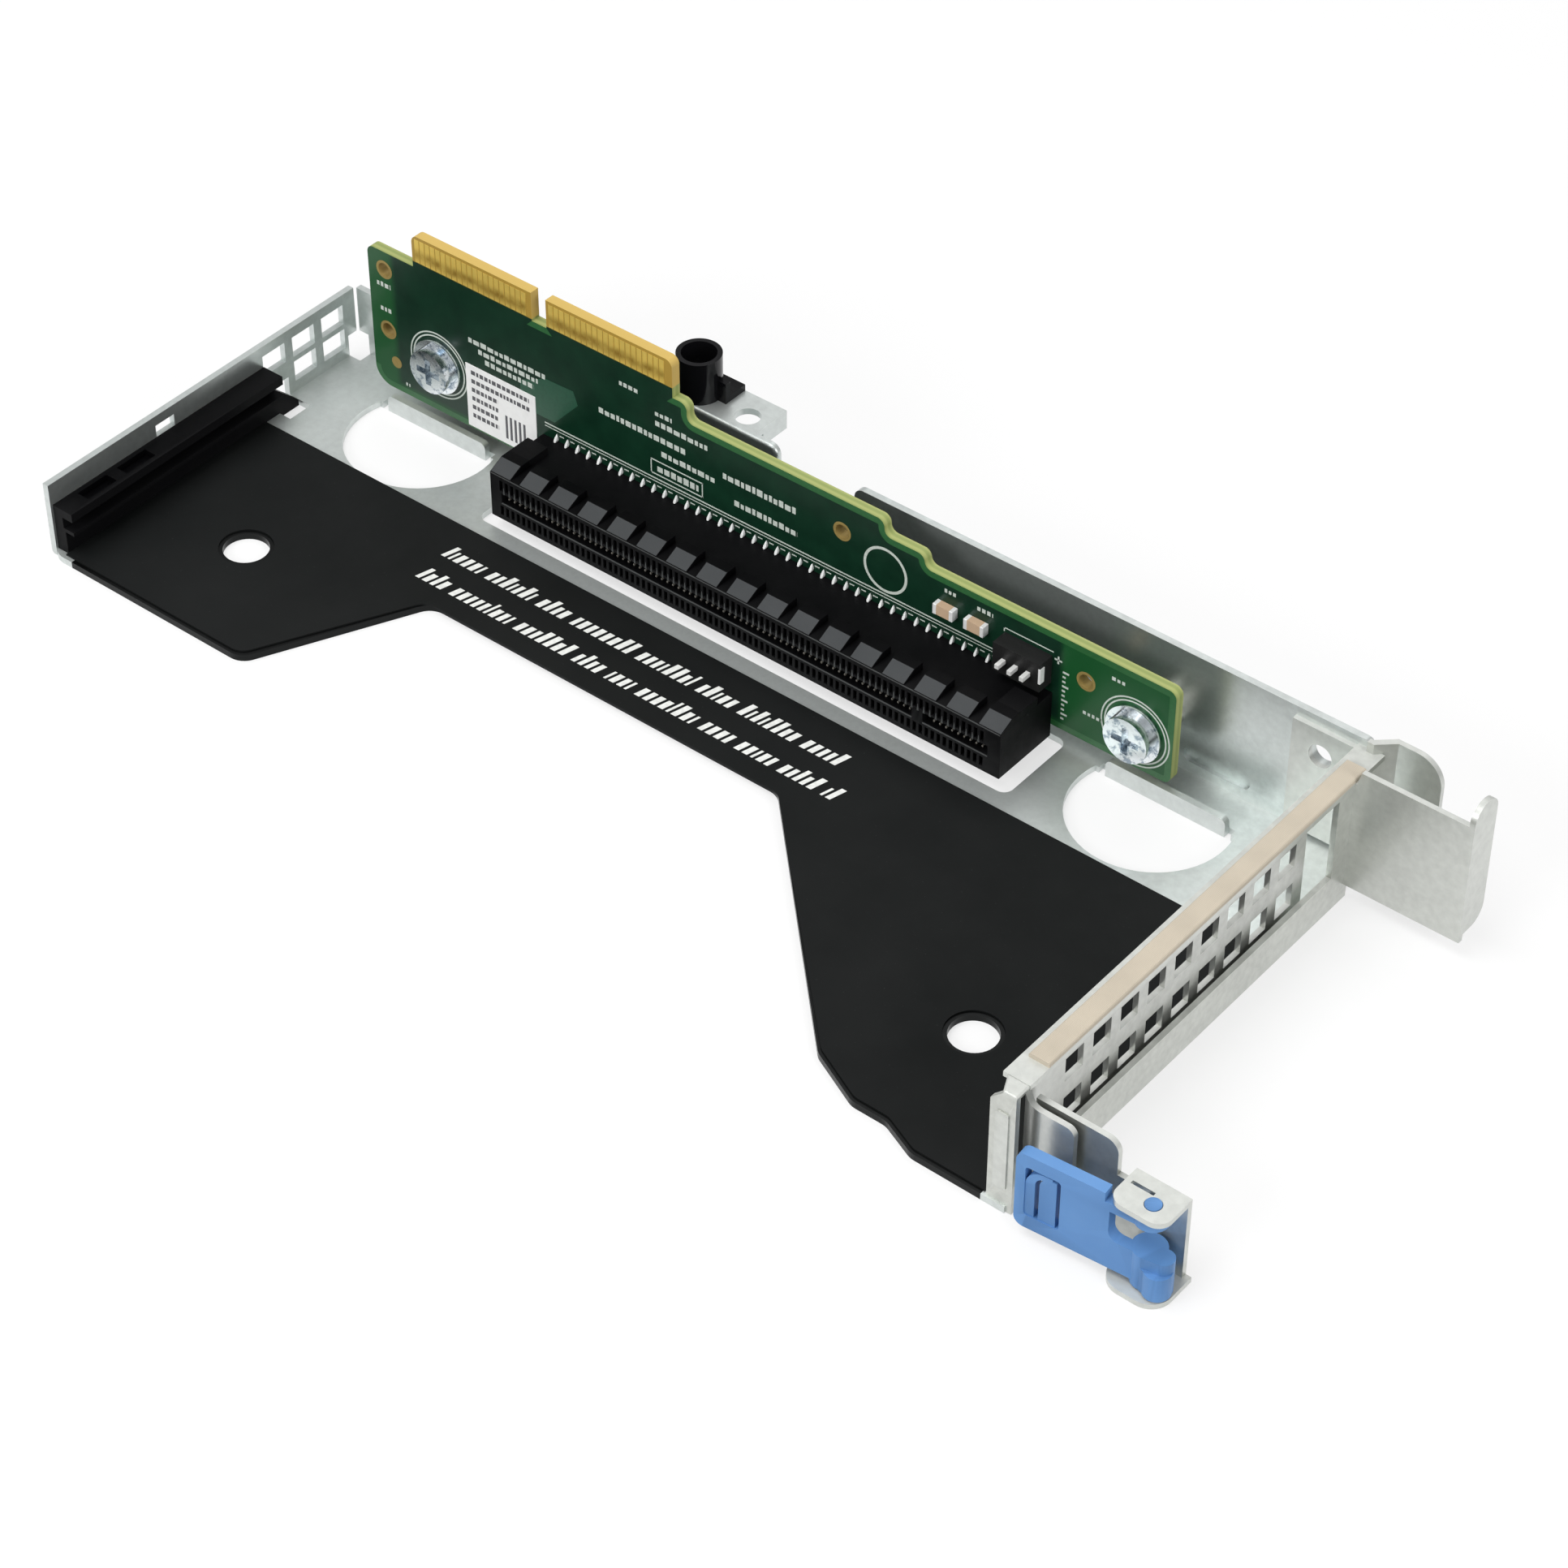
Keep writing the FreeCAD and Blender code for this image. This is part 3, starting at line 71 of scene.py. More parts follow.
CAMERA_PLACE = (329.09, -339.34, 368.28)
CAMERA_WAY = Vector((-0.47160, 0.57933, -0.66481))
CAMERA_LENS = 97.5
SENSOR_WIDTH = 36.0
CLIP_RANGE = (0.01, 20.0)


def make_camera():
    """The camera at the photograph's viewing angle."""
    data = bpy.data.cameras.new("camera")
    data.lens = CAMERA_LENS
    data.sensor_width = SENSOR_WIDTH
    data.clip_start, data.clip_end = CLIP_RANGE
    camera = bpy.data.objects.new("camera", data)
    camera.location = at(*CAMERA_PLACE)
    camera.rotation_mode = "QUATERNION"
    camera.rotation_quaternion = CAMERA_WAY.to_track_quat("-Z", "Y")
    bpy.context.scene.collection.objects.link(camera)
    bpy.context.scene.camera = camera


# Material helpers

def new_material(name):
    """An empty node material with its tree and its shader."""
    material = bpy.data.materials.new(name)
    material.use_nodes = True
    tree = material.node_tree
    tree.nodes.clear()
    output = tree.nodes.new("ShaderNodeOutputMaterial")
    shader = tree.nodes.new("ShaderNodeBsdfPrincipled")
    tree.links.new(shader.outputs["BSDF"], output.inputs["Surface"])
    return material, tree, shader


def plug(tree, value, socket):
    """Links a socket, or sets it where the value is a number or a colour."""
    if isinstance(value, bpy.types.NodeSocket):
        tree.links.new(value, socket)
    elif isinstance(value, tuple):
        socket.default_value = (*value, 1.0)
    else:
        socket.default_value = value


def shade(tree, shader, looks):
    """Plugs the shader's inputs by their names."""
    for name, value in looks.items():
        plug(tree, value, shader.inputs[name])


def scaled(colour, factor, lift=0.0):
    """A colour made darker or brighter, and no brighter than 1."""
    return tuple(min(channel * factor + lift, 1.0) for channel in colour)


def place_node(tree):
    """The object's own coordinates, in metres."""
    return tree.nodes.new("ShaderNodeTexCoord").outputs["Object"]


def normal_node(tree):
    """The face's direction."""
    return tree.nodes.new("ShaderNodeNewGeometry").outputs["Normal"]


def along(tree, vector, axis):
    """A vector's part along an axis."""
    split = tree.nodes.new("ShaderNodeSeparateXYZ")
    tree.links.new(vector, split.inputs[0])
    return split.outputs["XYZ".index(axis)]


def noise(tree, scale, detail=4.0, roughness=0.55, stretch=None):
    """A noise value; scale is in features per metre."""
    node = tree.nodes.new("ShaderNodeTexNoise")
    node.inputs["Scale"].default_value = scale
    node.inputs["Detail"].default_value = detail
    node.inputs["Roughness"].default_value = roughness
    source = place_node(tree)
    if stretch:
        mapping = tree.nodes.new("ShaderNodeMapping")
        mapping.inputs["Scale"].default_value = stretch
        tree.links.new(source, mapping.inputs["Vector"])
        source = mapping.outputs["Vector"]
    tree.links.new(source, node.inputs["Vector"])
    return node.outputs["Fac"]


def wave(tree, direction, scale, distortion):
    """A banded value; scale sets how many bands a metre holds."""
    node = tree.nodes.new("ShaderNodeTexWave")
    node.bands_direction = direction
    node.inputs["Scale"].default_value = scale
    node.inputs["Distortion"].default_value = distortion
    tree.links.new(place_node(tree), node.inputs["Vector"])
    return node.outputs["Fac"]


def ramp(tree, value, stops):
    """A colour or grey from a value; stops are (position, colour or grey)."""
    node = tree.nodes.new("ShaderNodeValToRGB")
    elements = node.color_ramp.elements
    while len(elements) < len(stops):
        elements.new(0.5)
    for element, (position, colour) in zip(elements, stops):
        element.position = position
        element.color = (*(colour if isinstance(colour, tuple) else (colour,) * 3), 1.0)
    tree.links.new(value, node.inputs["Fac"])
    return node.outputs["Color"]


def mottled(tree, scale, dark, bright, detail=4.0):
    """Soft noise between two colours or greys."""
    return ramp(tree, noise(tree, scale, detail), [(0.3, dark), (0.7, bright)])


def blend(tree, factor, first, second, mode="MIX"):
    """Mixes two colours; each may be a socket or a colour."""
    node = tree.nodes.new("ShaderNodeMix")
    node.data_type = "RGBA"
    node.blend_type = mode
    for value, number in ((factor, 0), (first, 6), (second, 7)):
        plug(tree, value, node.inputs[number])
    return node.outputs[2]


def arithmetic(tree, operation, first, second=0.0):
    """One sum on values; each may be a socket or a number."""
    node = tree.nodes.new("ShaderNodeMath")
    node.operation = operation
    for value, socket in zip((first, second), node.inputs):
        plug(tree, value, socket)
    return node.outputs[0]


def bump(tree, shader, height, strength, distance):
    """A bump from a height value, chained after any bump that is already there."""
    node = tree.nodes.new("ShaderNodeBump")
    node.inputs["Strength"].default_value = strength
    node.inputs["Distance"].default_value = distance
    tree.links.new(height, node.inputs["Height"])
    if shader.inputs["Normal"].is_linked:
        earlier = shader.inputs["Normal"].links[0].from_socket
        tree.links.new(earlier, node.inputs["Normal"])
    tree.links.new(node.outputs["Normal"], shader.inputs["Normal"])


def edge_wear(tree, sharp, share):
    """A mask along worn edges: it reaches the share where the edge is sharp."""
    geometry = tree.nodes.new("ShaderNodeNewGeometry")
    edges = ramp(tree, geometry.outputs["Pointiness"], [(0.52, 0.0), (sharp, 1.0)])
    return arithmetic(tree, "MULTIPLY", edges, share)


def within(tree, axis, low, high, soft=0.05):
    """A mask that is 1 between two places along an axis, in millimetres from the datum."""
    value = along(tree, place_node(tree), axis)
    offset = DATUM["XYZ".index(axis)]
    above = arithmetic(tree, "SUBTRACT", value, offset + low * MM)
    below = arithmetic(tree, "SUBTRACT", offset + high * MM, value)
    node = tree.nodes.new("ShaderNodeMapRange")
    node.interpolation_type = "SMOOTHSTEP"
    node.inputs["From Min"].default_value = -soft * MM
    node.inputs["From Max"].default_value = soft * MM
    tree.links.new(arithmetic(tree, "MINIMUM", above, below), node.inputs["Value"])
    return node.outputs["Result"]


def upright(tree):
    """A mask that is 1 on upright faces and 0 on flat ones, and how far a face looks up."""
    lift = along(tree, normal_node(tree), "Z")
    return ramp(tree, arithmetic(tree, "ABSOLUTE", lift), [(0.3, 1.0), (0.8, 0.0)]), lift


# Materials

ZINC_TINT = (0.660, 0.712, 0.698)
ZINC_WORN = (0.68, 0.70, 0.68)
UPRIGHT_METAL = 0.85
SPANGLE_SCALE = 420.0
# Round the film the plate shows a narrow rim, here by axis. Painted shade: the rim is painted as
# dark as the film.
RIM_SHADE_SPANS = (("Z", -2.3, -0.9), ("X", -38.9, 131.0), ("Y", -62.0, -3.9))
RIM_SHADE_SOFT = 0.02
RIM_SHADE_BLACK = (0.020, 0.021, 0.021)


def film_rim_shade(tree, lift):
    """A mask of painted shade over the plate's rim round the film; its underside stays bare."""
    rim_shade_mask = within(tree, *RIM_SHADE_SPANS[0], RIM_SHADE_SOFT)
    for span in RIM_SHADE_SPANS[1:]:
        rim_shade_mask = arithmetic(tree, "MULTIPLY", rim_shade_mask, within(tree, *span, RIM_SHADE_SOFT))
    return arithmetic(tree, "MULTIPLY", rim_shade_mask, arithmetic(tree, "GREATER_THAN", lift, -0.5))


def zinc(name, tint, flat_metal, paint_rim_shade=False):
    """Zinc-coated sheet: fine spangle, faint cloudy patches and a brushed rolling grain."""
    material, tree, shader = new_material(name)
    spangle = tree.nodes.new("ShaderNodeTexVoronoi")
    spangle.inputs["Scale"].default_value = SPANGLE_SCALE
    spangle.inputs["Randomness"].default_value = 1.0
    tree.links.new(place_node(tree), spangle.inputs["Vector"])
    facets = ramp(tree, spangle.outputs["Color"], [(0.2, 0.47), (0.8, 0.53)])
    clouds = mottled(tree, 55.0, 0.40, 0.60, 5.0)
    mixed = blend(tree, 0.4, facets, clouds)
    mixed = blend(tree, 0.45, mixed, mottled(tree, 900.0, 0.42, 0.58))
    dark = scaled(tint, 0.80)
    base = ramp(tree, mixed, [(0.43, dark), (0.57, scaled(tint, 1.12))])
    specks = ramp(tree, noise(tree, 2600.0, 3.0), [(0.62, 0.0), (0.72, 1.0)])
    stained = blend(tree, arithmetic(tree, "MULTIPLY", specks, 0.16), base, dark)
    colour = blend(tree, edge_wear(tree, 0.60, 0.35), stained, ZINC_WORN)
    steep, lift = upright(tree)
    metal_share = ramp(tree, steep, [(0.0, flat_metal), (1.0, UPRIGHT_METAL)])
    # Painted shade: the plate's rim round the film goes near black and fully metallic.
    if paint_rim_shade:
        rim_shade_mask = film_rim_shade(tree, lift)
        colour = blend(tree, rim_shade_mask, colour, RIM_SHADE_BLACK)
        metal_share = blend(tree, rim_shade_mask, metal_share, (1.0, 1.0, 1.0))
    rough = ramp(tree, mixed, [(0.43, 0.48), (0.57, 0.34)])
    rough = blend(tree, arithmetic(tree, "MULTIPLY", steep, 0.5), rough, (0.22, 0.22, 0.22))
    shade(tree, shader, {"Base Color": colour, "Metallic": metal_share, "Roughness": rough})
    bump(tree, shader, noise(tree, 900.0, 4.0, 0.6, (1.0, 0.35, 1.0)), 0.10, 0.0002)
    bump(tree, shader, spangle.outputs["Distance"], 0.05, 0.0002)
    return material


def film_material():
    """Matte black film with a faint haze and dust."""
    material, tree, shader = new_material("film_black")
    haze = mottled(tree, 35.0, (0.006, 0.007, 0.007), (0.011, 0.012, 0.012))
    dust = ramp(tree, noise(tree, 3200.0, 2.0), [(0.70, 0.0), (0.76, 1.0)])
    dust = arithmetic(tree, "MULTIPLY", dust, 0.10)
    shade(tree, shader, {
        "Base Color": blend(tree, dust, haze, (0.20, 0.20, 0.20)),
        "Roughness": mottled(tree, 120.0, 0.50, 0.62),
        "Specular IOR Level": 0.11,
    })
    bump(tree, shader, noise(tree, 2400.0, 3.0), 0.08, 0.0001)
    return material


def plastic(name, dark, bright, rough, grain=0.12, coat=0.0, shine=0.4):
    """Moulded plastic with a fine grain, a slight mottle and rubbed edges."""
    material, tree, shader = new_material(name)
    base = mottled(tree, 160.0, dark, bright)
    rubbed = scaled(bright, 1.6, 0.008)
    shade(tree, shader, {
        "Base Color": blend(tree, edge_wear(tree, 0.62, 0.45), base, rubbed),
        "Roughness": mottled(tree, 500.0, rough - 0.06, rough + 0.06),
        "Specular IOR Level": shine,
        "Coat Weight": coat,
        "Coat Roughness": 0.12,
    })
    bump(tree, shader, noise(tree, 5200.0, 2.0), grain, 0.0001)
    return material


MASK_COPPER = (0.003, 0.022, 0.011)
MASK_MOTTLE = (0.006, 0.036, 0.018)
MASK_BARE = (0.012, 0.100, 0.026)
LAMINATE = (0.40, 0.44, 0.16)
LAMINATE_DARK = (0.30, 0.36, 0.12)
TONGUE_FACE = (0.42, 0.27, 0.05)
TONGUE_EDGE = (0.66, 0.46, 0.13)
TONGUE_FOOT = 26.6
BOARD_LOW = -5.0
# The margins of the board without copper, each with the softness of its border.
BARE_MARGINS = (("X", -60.0, -27.9, 0.8), ("X", 90.3, 120.0, 0.6), ("Z", BOARD_LOW, 3.4, 0.6))


def board_material():
    """Green solder mask with copper areas under it, and a layered yellow-green edge."""
    material, tree, shader = new_material("board_green")
    face = ramp(tree, noise(tree, 240.0, 5.0), [(0.3, MASK_COPPER), (0.75, MASK_MOTTLE)])
    margin = within(tree, *BARE_MARGINS[0])
    for span in BARE_MARGINS[1:]:
        margin = arithmetic(tree, "MAXIMUM", margin, within(tree, *span))
    margin = arithmetic(tree, "MULTIPLY", margin, within(tree, "Z", BOARD_LOW, TONGUE_FOOT))
    face = blend(tree, arithmetic(tree, "MULTIPLY", margin, 0.75), face, MASK_BARE)
    tongue = within(tree, "Z", TONGUE_FOOT, 40.0)
    face = blend(tree, tongue, face, TONGUE_FACE)
    outward = arithmetic(tree, "ABSOLUTE", along(tree, normal_node(tree), "Y"))
    facing = arithmetic(tree, "GREATER_THAN", outward, 0.5)
    layers = wave(tree, "Y", 300.0, 0.4)
    side = ramp(tree, layers, [(0.2, LAMINATE_DARK), (0.8, LAMINATE)])
    side = blend(tree, tongue, side, TONGUE_EDGE)
    shade(tree, shader, {
        "Base Color": blend(tree, facing, side, face),
        "Roughness": ramp(tree, facing, [(0.0, 0.62), (1.0, 0.30)]),
        "Specular IOR Level": 0.25,
        "Coat Weight": 0.10,
        "Coat Roughness": 0.15,
    })
    traces = tree.nodes.new("ShaderNodeTexBrick")
    traces.inputs["Scale"].default_value = 240.0
    traces.inputs["Mortar Size"].default_value = 0.04
    tree.links.new(place_node(tree), traces.inputs["Vector"])
    bump(tree, shader, traces.outputs["Fac"], 0.05, 0.00005)
    bump(tree, shader, noise(tree, 1500.0), 0.05, 0.00005)
    return material


METAL_GRAIN = 600.0
METAL_STAIN = 0.08


def metal(name, tint, rough, metallic=1.0):
    """Plated metal with slight stains and a fine grain."""
    material, tree, shader = new_material(name)
    base = mottled(tree, METAL_GRAIN, scaled(tint, 1 - METAL_STAIN * 2), tint)
    shade(tree, shader, {
        "Base Color": blend(tree, edge_wear(tree, 0.62, 0.4), base, scaled(tint, 1.2, 0.03)),
        "Specular IOR Level": 0.25,
        "Metallic": metallic,
        "Roughness": mottled(tree, METAL_GRAIN * 2, rough, rough + METAL_STAIN),
    })
    bump(tree, shader, noise(tree, METAL_GRAIN * 4), 0.08, 0.00005)
    return material


# Used for the real contact streak on the gold and for the painted reflections on the screws.
def stain_and_reflection(material, make_mask, colour):
    """Blends a colour over a finished material where the mask says."""
    tree = material.node_tree
    shader = next(node for node in tree.nodes if node.type == "BSDF_PRINCIPLED")
    plain = shader.inputs["Base Color"].links[0].from_socket
    shade(tree, shader, {"Base Color": blend(tree, make_mask(tree), plain, colour)})
    return material


GOLD = (0.88, 0.61, 0.125)
GOLD_STREAK = (0.30, 0.16, 0.015)
STREAK_SPAN = ("Z", 27.3, 28.7, 0.7)
SCREW_TINT = (0.92, 0.97, 1.0)
# Blue-grey for the screw heads' painted reflections.
SCREW_REFLECTION_BLUE = (0.16, 0.24, 0.32)


def gold_material():
    """Thin gold plating with the darker streak that mating contacts leave."""

    def streak(tree):
        """A patchy band across the fingers."""
        patchy = ramp(tree, noise(tree, 500.0, 4.0), [(0.35, 0.35), (0.6, 0.85)])
        return arithmetic(tree, "MULTIPLY", within(tree, *STREAK_SPAN), patchy)

    return stain_and_reflection(metal("contact_gold", GOLD, 0.36, metallic=0.55), streak, GOLD_STREAK)


def screw_material():
    """Bright zinc on a driven screw head: hard glints, and blue-grey patches of painted
    reflection.
    """

    def painted_reflections(tree):
        """Hard-edged patches of painted reflection."""
        return ramp(tree, noise(tree, 620.0, 3.0, 0.7), [(0.50, 0.0), (0.60, 0.75)])

    return stain_and_reflection(metal("screw_zinc", SCREW_TINT, 0.14), painted_reflections, SCREW_REFLECTION_BLUE)


def gasket_material():
    """Woven conductive fabric in taupe."""
    material, tree, shader = new_material("gasket_weave")
    threads = [wave(tree, direction, 1500.0, 1.5) for direction in ("X", "Y")]
    cloth = arithmetic(tree, "MULTIPLY", *threads)
    base = ramp(tree, cloth, [(0.1, (0.60, 0.53, 0.42)), (0.7, (0.68, 0.60, 0.48))])
    shade(tree, shader, {
        "Base Color": blend(tree, 1.0, base, mottled(tree, 140.0, 0.88, 1.0), "MULTIPLY"),
        "Roughness": 0.75,
        "Sheen Weight": 0.3,
        "Metallic": 0.15,
    })
    bump(tree, shader, cloth, 0.20, 0.00006)
    return material


def paper_material():
    """Slightly glossy label paper."""
    material, tree, shader = new_material("label_paper")
    shade(tree, shader, {
        "Base Color": mottled(tree, 700.0, (0.90, 0.90, 0.89), (0.96, 0.96, 0.95)),
        "Roughness": mottled(tree, 300.0, 0.42, 0.52),
    })
    bump(tree, shader, noise(tree, 3000.0), 0.06, 0.00005)
    return material


def ink(name, colour, rough=0.5):
    """Screen-printed ink with a slightly uneven cover."""
    material, tree, shader = new_material(name)
    cover = [(0.35, scaled(colour, 0.86)), (0.6, colour)]
    shade(tree, shader, {"Base Color": ramp(tree, noise(tree, 1800.0), cover), "Roughness": rough})
    bump(tree, shader, noise(tree, 4000.0), 0.06, 0.00003)
    return material


MATERIALS = {
    # The tray's plate gets painted shade on its rim round the film.
    "tray": zinc("zinc_tray", ZINC_TINT, 0.68, paint_rim_shade=True),
    "io_bracket": zinc("zinc_bracket", (0.600, 0.615, 0.575), 0.20),
    "slot_blank": zinc("zinc_blank", (0.580, 0.590, 0.560), 0.20),
    "insulator_film": film_material(),
    "card_guide": plastic(
        "guide_black", (0.0015, 0.0015, 0.002), (0.003, 0.003, 0.0035), 0.40, shine=0.05),
    "riser_board": board_material(),
    "slot_housing": plastic(
        "slot_black", (0.002, 0.002, 0.0025), (0.004, 0.004, 0.0045), 0.44, shine=0.07),
    "guide_boss": plastic(
        "boss_black", (0.001, 0.001, 0.0015), (0.002, 0.002, 0.003), 0.14,
        grain=0.02, coat=0.20, shine=0.12),
    "board_screw_left": screw_material(),
    "standoff_left": metal("standoff_nickel", (0.72, 0.70, 0.64), 0.28),
    "emi_gasket": gasket_material(),
    "latch_lever": plastic(
        "latch_blue", (0.082, 0.205, 0.450), (0.108, 0.246, 0.500), 0.42, grain=0.08, shine=0.3),
    "board_label": paper_material(),
    "header_block": plastic(
        "header_black", (0.005, 0.005, 0.005), (0.010, 0.010, 0.010), 0.40, shine=0.2),
    "header_pin_1": metal("pin_tin", (0.90, 0.90, 0.87), 0.30, metallic=0.3),
    "chip_capacitor_left": plastic("chip_tan", (0.36, 0.25, 0.16), (0.46, 0.33, 0.22), 0.45),
}
SAME_AS = {
    "board_screw_right": "board_screw_left",
    "standoff_right": "standoff_left",
    "header_pin_2": "header_pin_1",
    "header_pin_3": "header_pin_1",
    "chip_capacitor_right": "chip_capacitor_left",
}
PRINT_WHITE = ink("print_white", (0.86, 0.87, 0.84))
PRINT_PALE = ink("print_pale", (0.62, 0.68, 0.62))
PRINT_GREY = ink("print_grey", (0.10, 0.10, 0.11))
# A grey for the painted highlights on the teeth's slopes.
TOOTH_HIGHLIGHT_GREY = plastic(
    "tooth_highlight_grey", (0.032, 0.035, 0.037), (0.045, 0.048, 0.050), 0.50, shine=0.10)
# A light grey for the painted highlights on the slot's edges and ribs.
LIP_HIGHLIGHT_GREY = plastic("lip_highlight_grey", (0.030, 0.032, 0.033), (0.055, 0.058, 0.058), 0.40, shine=0.3)
CONTACT_GOLD = gold_material()
CONTACT_TIP = metal("contact_tip", (0.34, 0.32, 0.28), 0.35, metallic=0.5)
TAIL_TIN = metal("tail_tin", (0.92, 0.93, 0.92), 0.35, metallic=0.2)
HOLE_BRASS = metal("hole_brass", (0.34, 0.24, 0.07), 0.40, metallic=0.3)
MASK_RIM = ink("mask_rim", (0.022, 0.125, 0.035), 0.35)
MASK_PATCH = ink("mask_patch", (0.020, 0.090, 0.050), 0.3)


def dress_nodes():
    """Gives each solid of the frame its material."""
    for name, solid in nodes.items():
        material = MATERIALS[SAME_AS.get(name, name)]
        solid.data.materials.clear()
        solid.data.materials.append(material)


# Mesh helpers

PRINT_THICK = 0.03


def finish_piece(name, mesh, material, body="frame", bevel=0.0):
    """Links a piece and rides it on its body."""
    mesh.materials.append(material)
    piece = bpy.data.objects.new(name, mesh)
    bpy.context.scene.collection.objects.link(piece)
    if bevel:
        rounding = piece.modifiers.new("edge", "BEVEL")
        rounding.width = bevel * MM
        rounding.segments = 2
        rounding.limit_method = "ANGLE"
    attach(piece, body)
    return piece


def prisms(name, outlines, material, body="frame", bevel=0.0):
    """One piece of many prisms: each has the low ring and the high ring of its corners."""
    mesh = bpy.data.meshes.new(name)
    verts, faces = [], []
    for low, high in outlines:
        first = len(verts)
        count = len(low)
        verts += [at(*corner) for corner in (*low, *high)]
        faces.append(tuple(first + index for index in reversed(range(count))))
        faces.append(tuple(first + count + index for index in range(count)))
        for index in range(count):
            here, after = first + index, first + (index + 1) % count
            faces.append((here, after, after + count, here + count))
    mesh.from_pydata(verts, [], faces)
    work = bmesh.new()
    work.from_mesh(mesh)
    bmesh.ops.recalc_face_normals(work, faces=work.faces)
    work.to_mesh(mesh)
    work.free()
    return finish_piece(name, mesh, material, body, bevel)


def box_outline(x0, x1, y0, y1, z0, z1):
    """The two rings of a block."""
    low = [(x0, y0, z0), (x1, y0, z0), (x1, y1, z0), (x0, y1, z0)]
    return low, [(x, y, z1) for x, y, z in low]


def facing_outline(ring, start, end):
    """The two rings of a prism that faces the front; the ring holds x and z, start and end y."""
    return [(x, start, z) for x, z in ring], [(x, end, z) for x, z in ring]


def rectangle(x0, x1, z0, z1):
    """The corners of a rectangle."""
    return [(x0, z0), (x1, z0), (x1, z1), (x0, z1)]


def bar_on_board(x0, x1, z0, z1):
    """A flat printed bar on the board's front face."""
    return facing_outline(rectangle(x0, x1, z0, z1), BOARD_FRONT, BOARD_FRONT - PRINT_THICK)


def bar_on_film(x0, x1, y0, y1, lean):
    """A flat printed bar on the film's top."""
    ring = [(x0, y0), (x1, y0), (x1 + lean, y1), (x0 + lean, y1)]
    return [[(x, y, z) for x, y in ring] for z in (FILM_TOP, FILM_TOP + PRINT_THICK)]


def ring_on_board(x, z, outer, width, steps=48, start=BOARD_FRONT, end=BOARD_FRONT - PRINT_THICK):
    """The prisms of a flat ring on the board; start and end are its two depths."""
    made = []
    for step in range(steps):
        turn = [2 * math.pi * (step + add) / steps for add in (0, 1)]
        corners = ((outer, turn[0]), (outer, turn[1]),
                   (outer - width, turn[1]), (outer - width, turn[0]))
        ring = [(x + radius * math.cos(angle), z + radius * math.sin(angle))
                for radius, angle in corners]
        made.append(facing_outline(ring, start, end))
    return made


# Printed marks on film and board, all generic bars and rings

# Each row of bars on the film: left end, right end and foot.
FILM_ROWS = ((0.0, 71.4, -10.7), (0.4, 73.4, -16.4))
FILM_BARS = (0.40, 0.70, 0.80, 0.90, 0.90)
FILM_BAR_HEIGHTS = (1.95, 1.95, 1.95, 2.7)
FILM_BAR_GAP = 0.50
FILM_GROUP = (4, 9)
FILM_GROUP_GAP = 0.95
PRINT_SLANT = 0.27

GUIDE_LEG = 2.0
# Where the strip of painted shade beside the film begins at the front.
SHADE_STRIP_FRONT = -43.5


def print_film():
    """Two rows of slanted bars where the film has its printed notice."""
    outlines = []
    for start, end, low in FILM_ROWS:
        x = start
        left_in_group = random.randint(*FILM_GROUP)
        while x < end:
            length = random.choice(FILM_BARS)
            top = low + random.choice(FILM_BAR_HEIGHTS)
            outlines.append(bar_on_film(x, x + length, low, top, PRINT_SLANT * (top - low)))
            x += length + FILM_BAR_GAP
            left_in_group -= 1
            if not left_in_group:
                left_in_group = random.randint(*FILM_GROUP)
                x += FILM_GROUP_GAP
    return prisms("film_print", outlines, PRINT_WHITE)


def guide_shade_strip():
    """Painted shade: a strip in the film's black on the plate beside the film, under the card
    guide's overhang.
    """
    guide_side = box_of("card_guide")[0].x + GUIDE_LEG
    low, high = box_of("insulator_film")
    strip = box_outline(guide_side + HAIR, low.x + HAIR, SHADE_STRIP_FRONT, high.y,
                        low.z, high.z - HAIR)
    return prisms("guide_shade_strip", [strip], MATERIALS["insulator_film"])


TOOLING_PLACES = [(-29.4, 22.5), (-29.4, 12.1), (94.2, 12.1), (53.7, 16.7)]
SCREW_PLACES = [(middle.x, middle.z) for middle in (
    sum(box_of(name), Vector()) / 2 for name in ("board_screw_left", "board_screw_right"))]

# The screws' printed rings, and the plain ring: x, z, outer radius and width.
SCREW_RING_RADII = (5.5, 4.95)
SCREW_RING_WIDTH = 0.22
PLAIN_RING = (61.1, 13.8, 3.7, 0.42)
# Rows of small print: left, right, foot, height, shortest bar and longest bar.
SMALL_PRINT = (
    (-13.6, 1.0, 17.2, 0.85, 0.5, 1.1),
    (-11.8, -0.6, 15.85, 0.85, 0.5, 1.1),
    (-10.6, -1.4, 14.5, 0.85, 0.5, 1.1),
    (10.7, 26.5, 16.3, 1.0, 0.5, 1.1),
    (21.0, 30.5, 18.9, 0.9, 0.5, 1.1),
    (22.0, 31.5, 14.0, 0.9, 0.5, 1.1),
    (33.0, 46.0, 15.6, 1.1, 0.5, 1.1),
    (35.0, 46.0, 11.9, 1.0, 0.5, 1.1),
    (14.6, 18.2, 22.8, 0.8, 0.5, 0.8),
    (21.0, 24.0, 20.6, 0.8, 0.5, 0.8),
    (21.2, 28.6, 11.1, 1.1, 0.7, 1.0),
    (94.0, 97.0, 6.6, 0.6, 0.4, 0.6),
    (98.2, 100.4, 14.6, 0.6, 0.4, 0.6),
    (-31.0, -28.4, 19.4, 0.8, 0.4, 0.7),
    (-30.6, -28.4, 15.2, 0.8, 0.4, 0.7),
    (-26.6, -25.8, 3.6, 0.6, 0.3, 0.4),
    (71.0, 73.0, 15.2, 0.7, 0.4, 0.6),
    (76.4, 79.0, 14.9, 0.7, 0.4, 0.6),
)
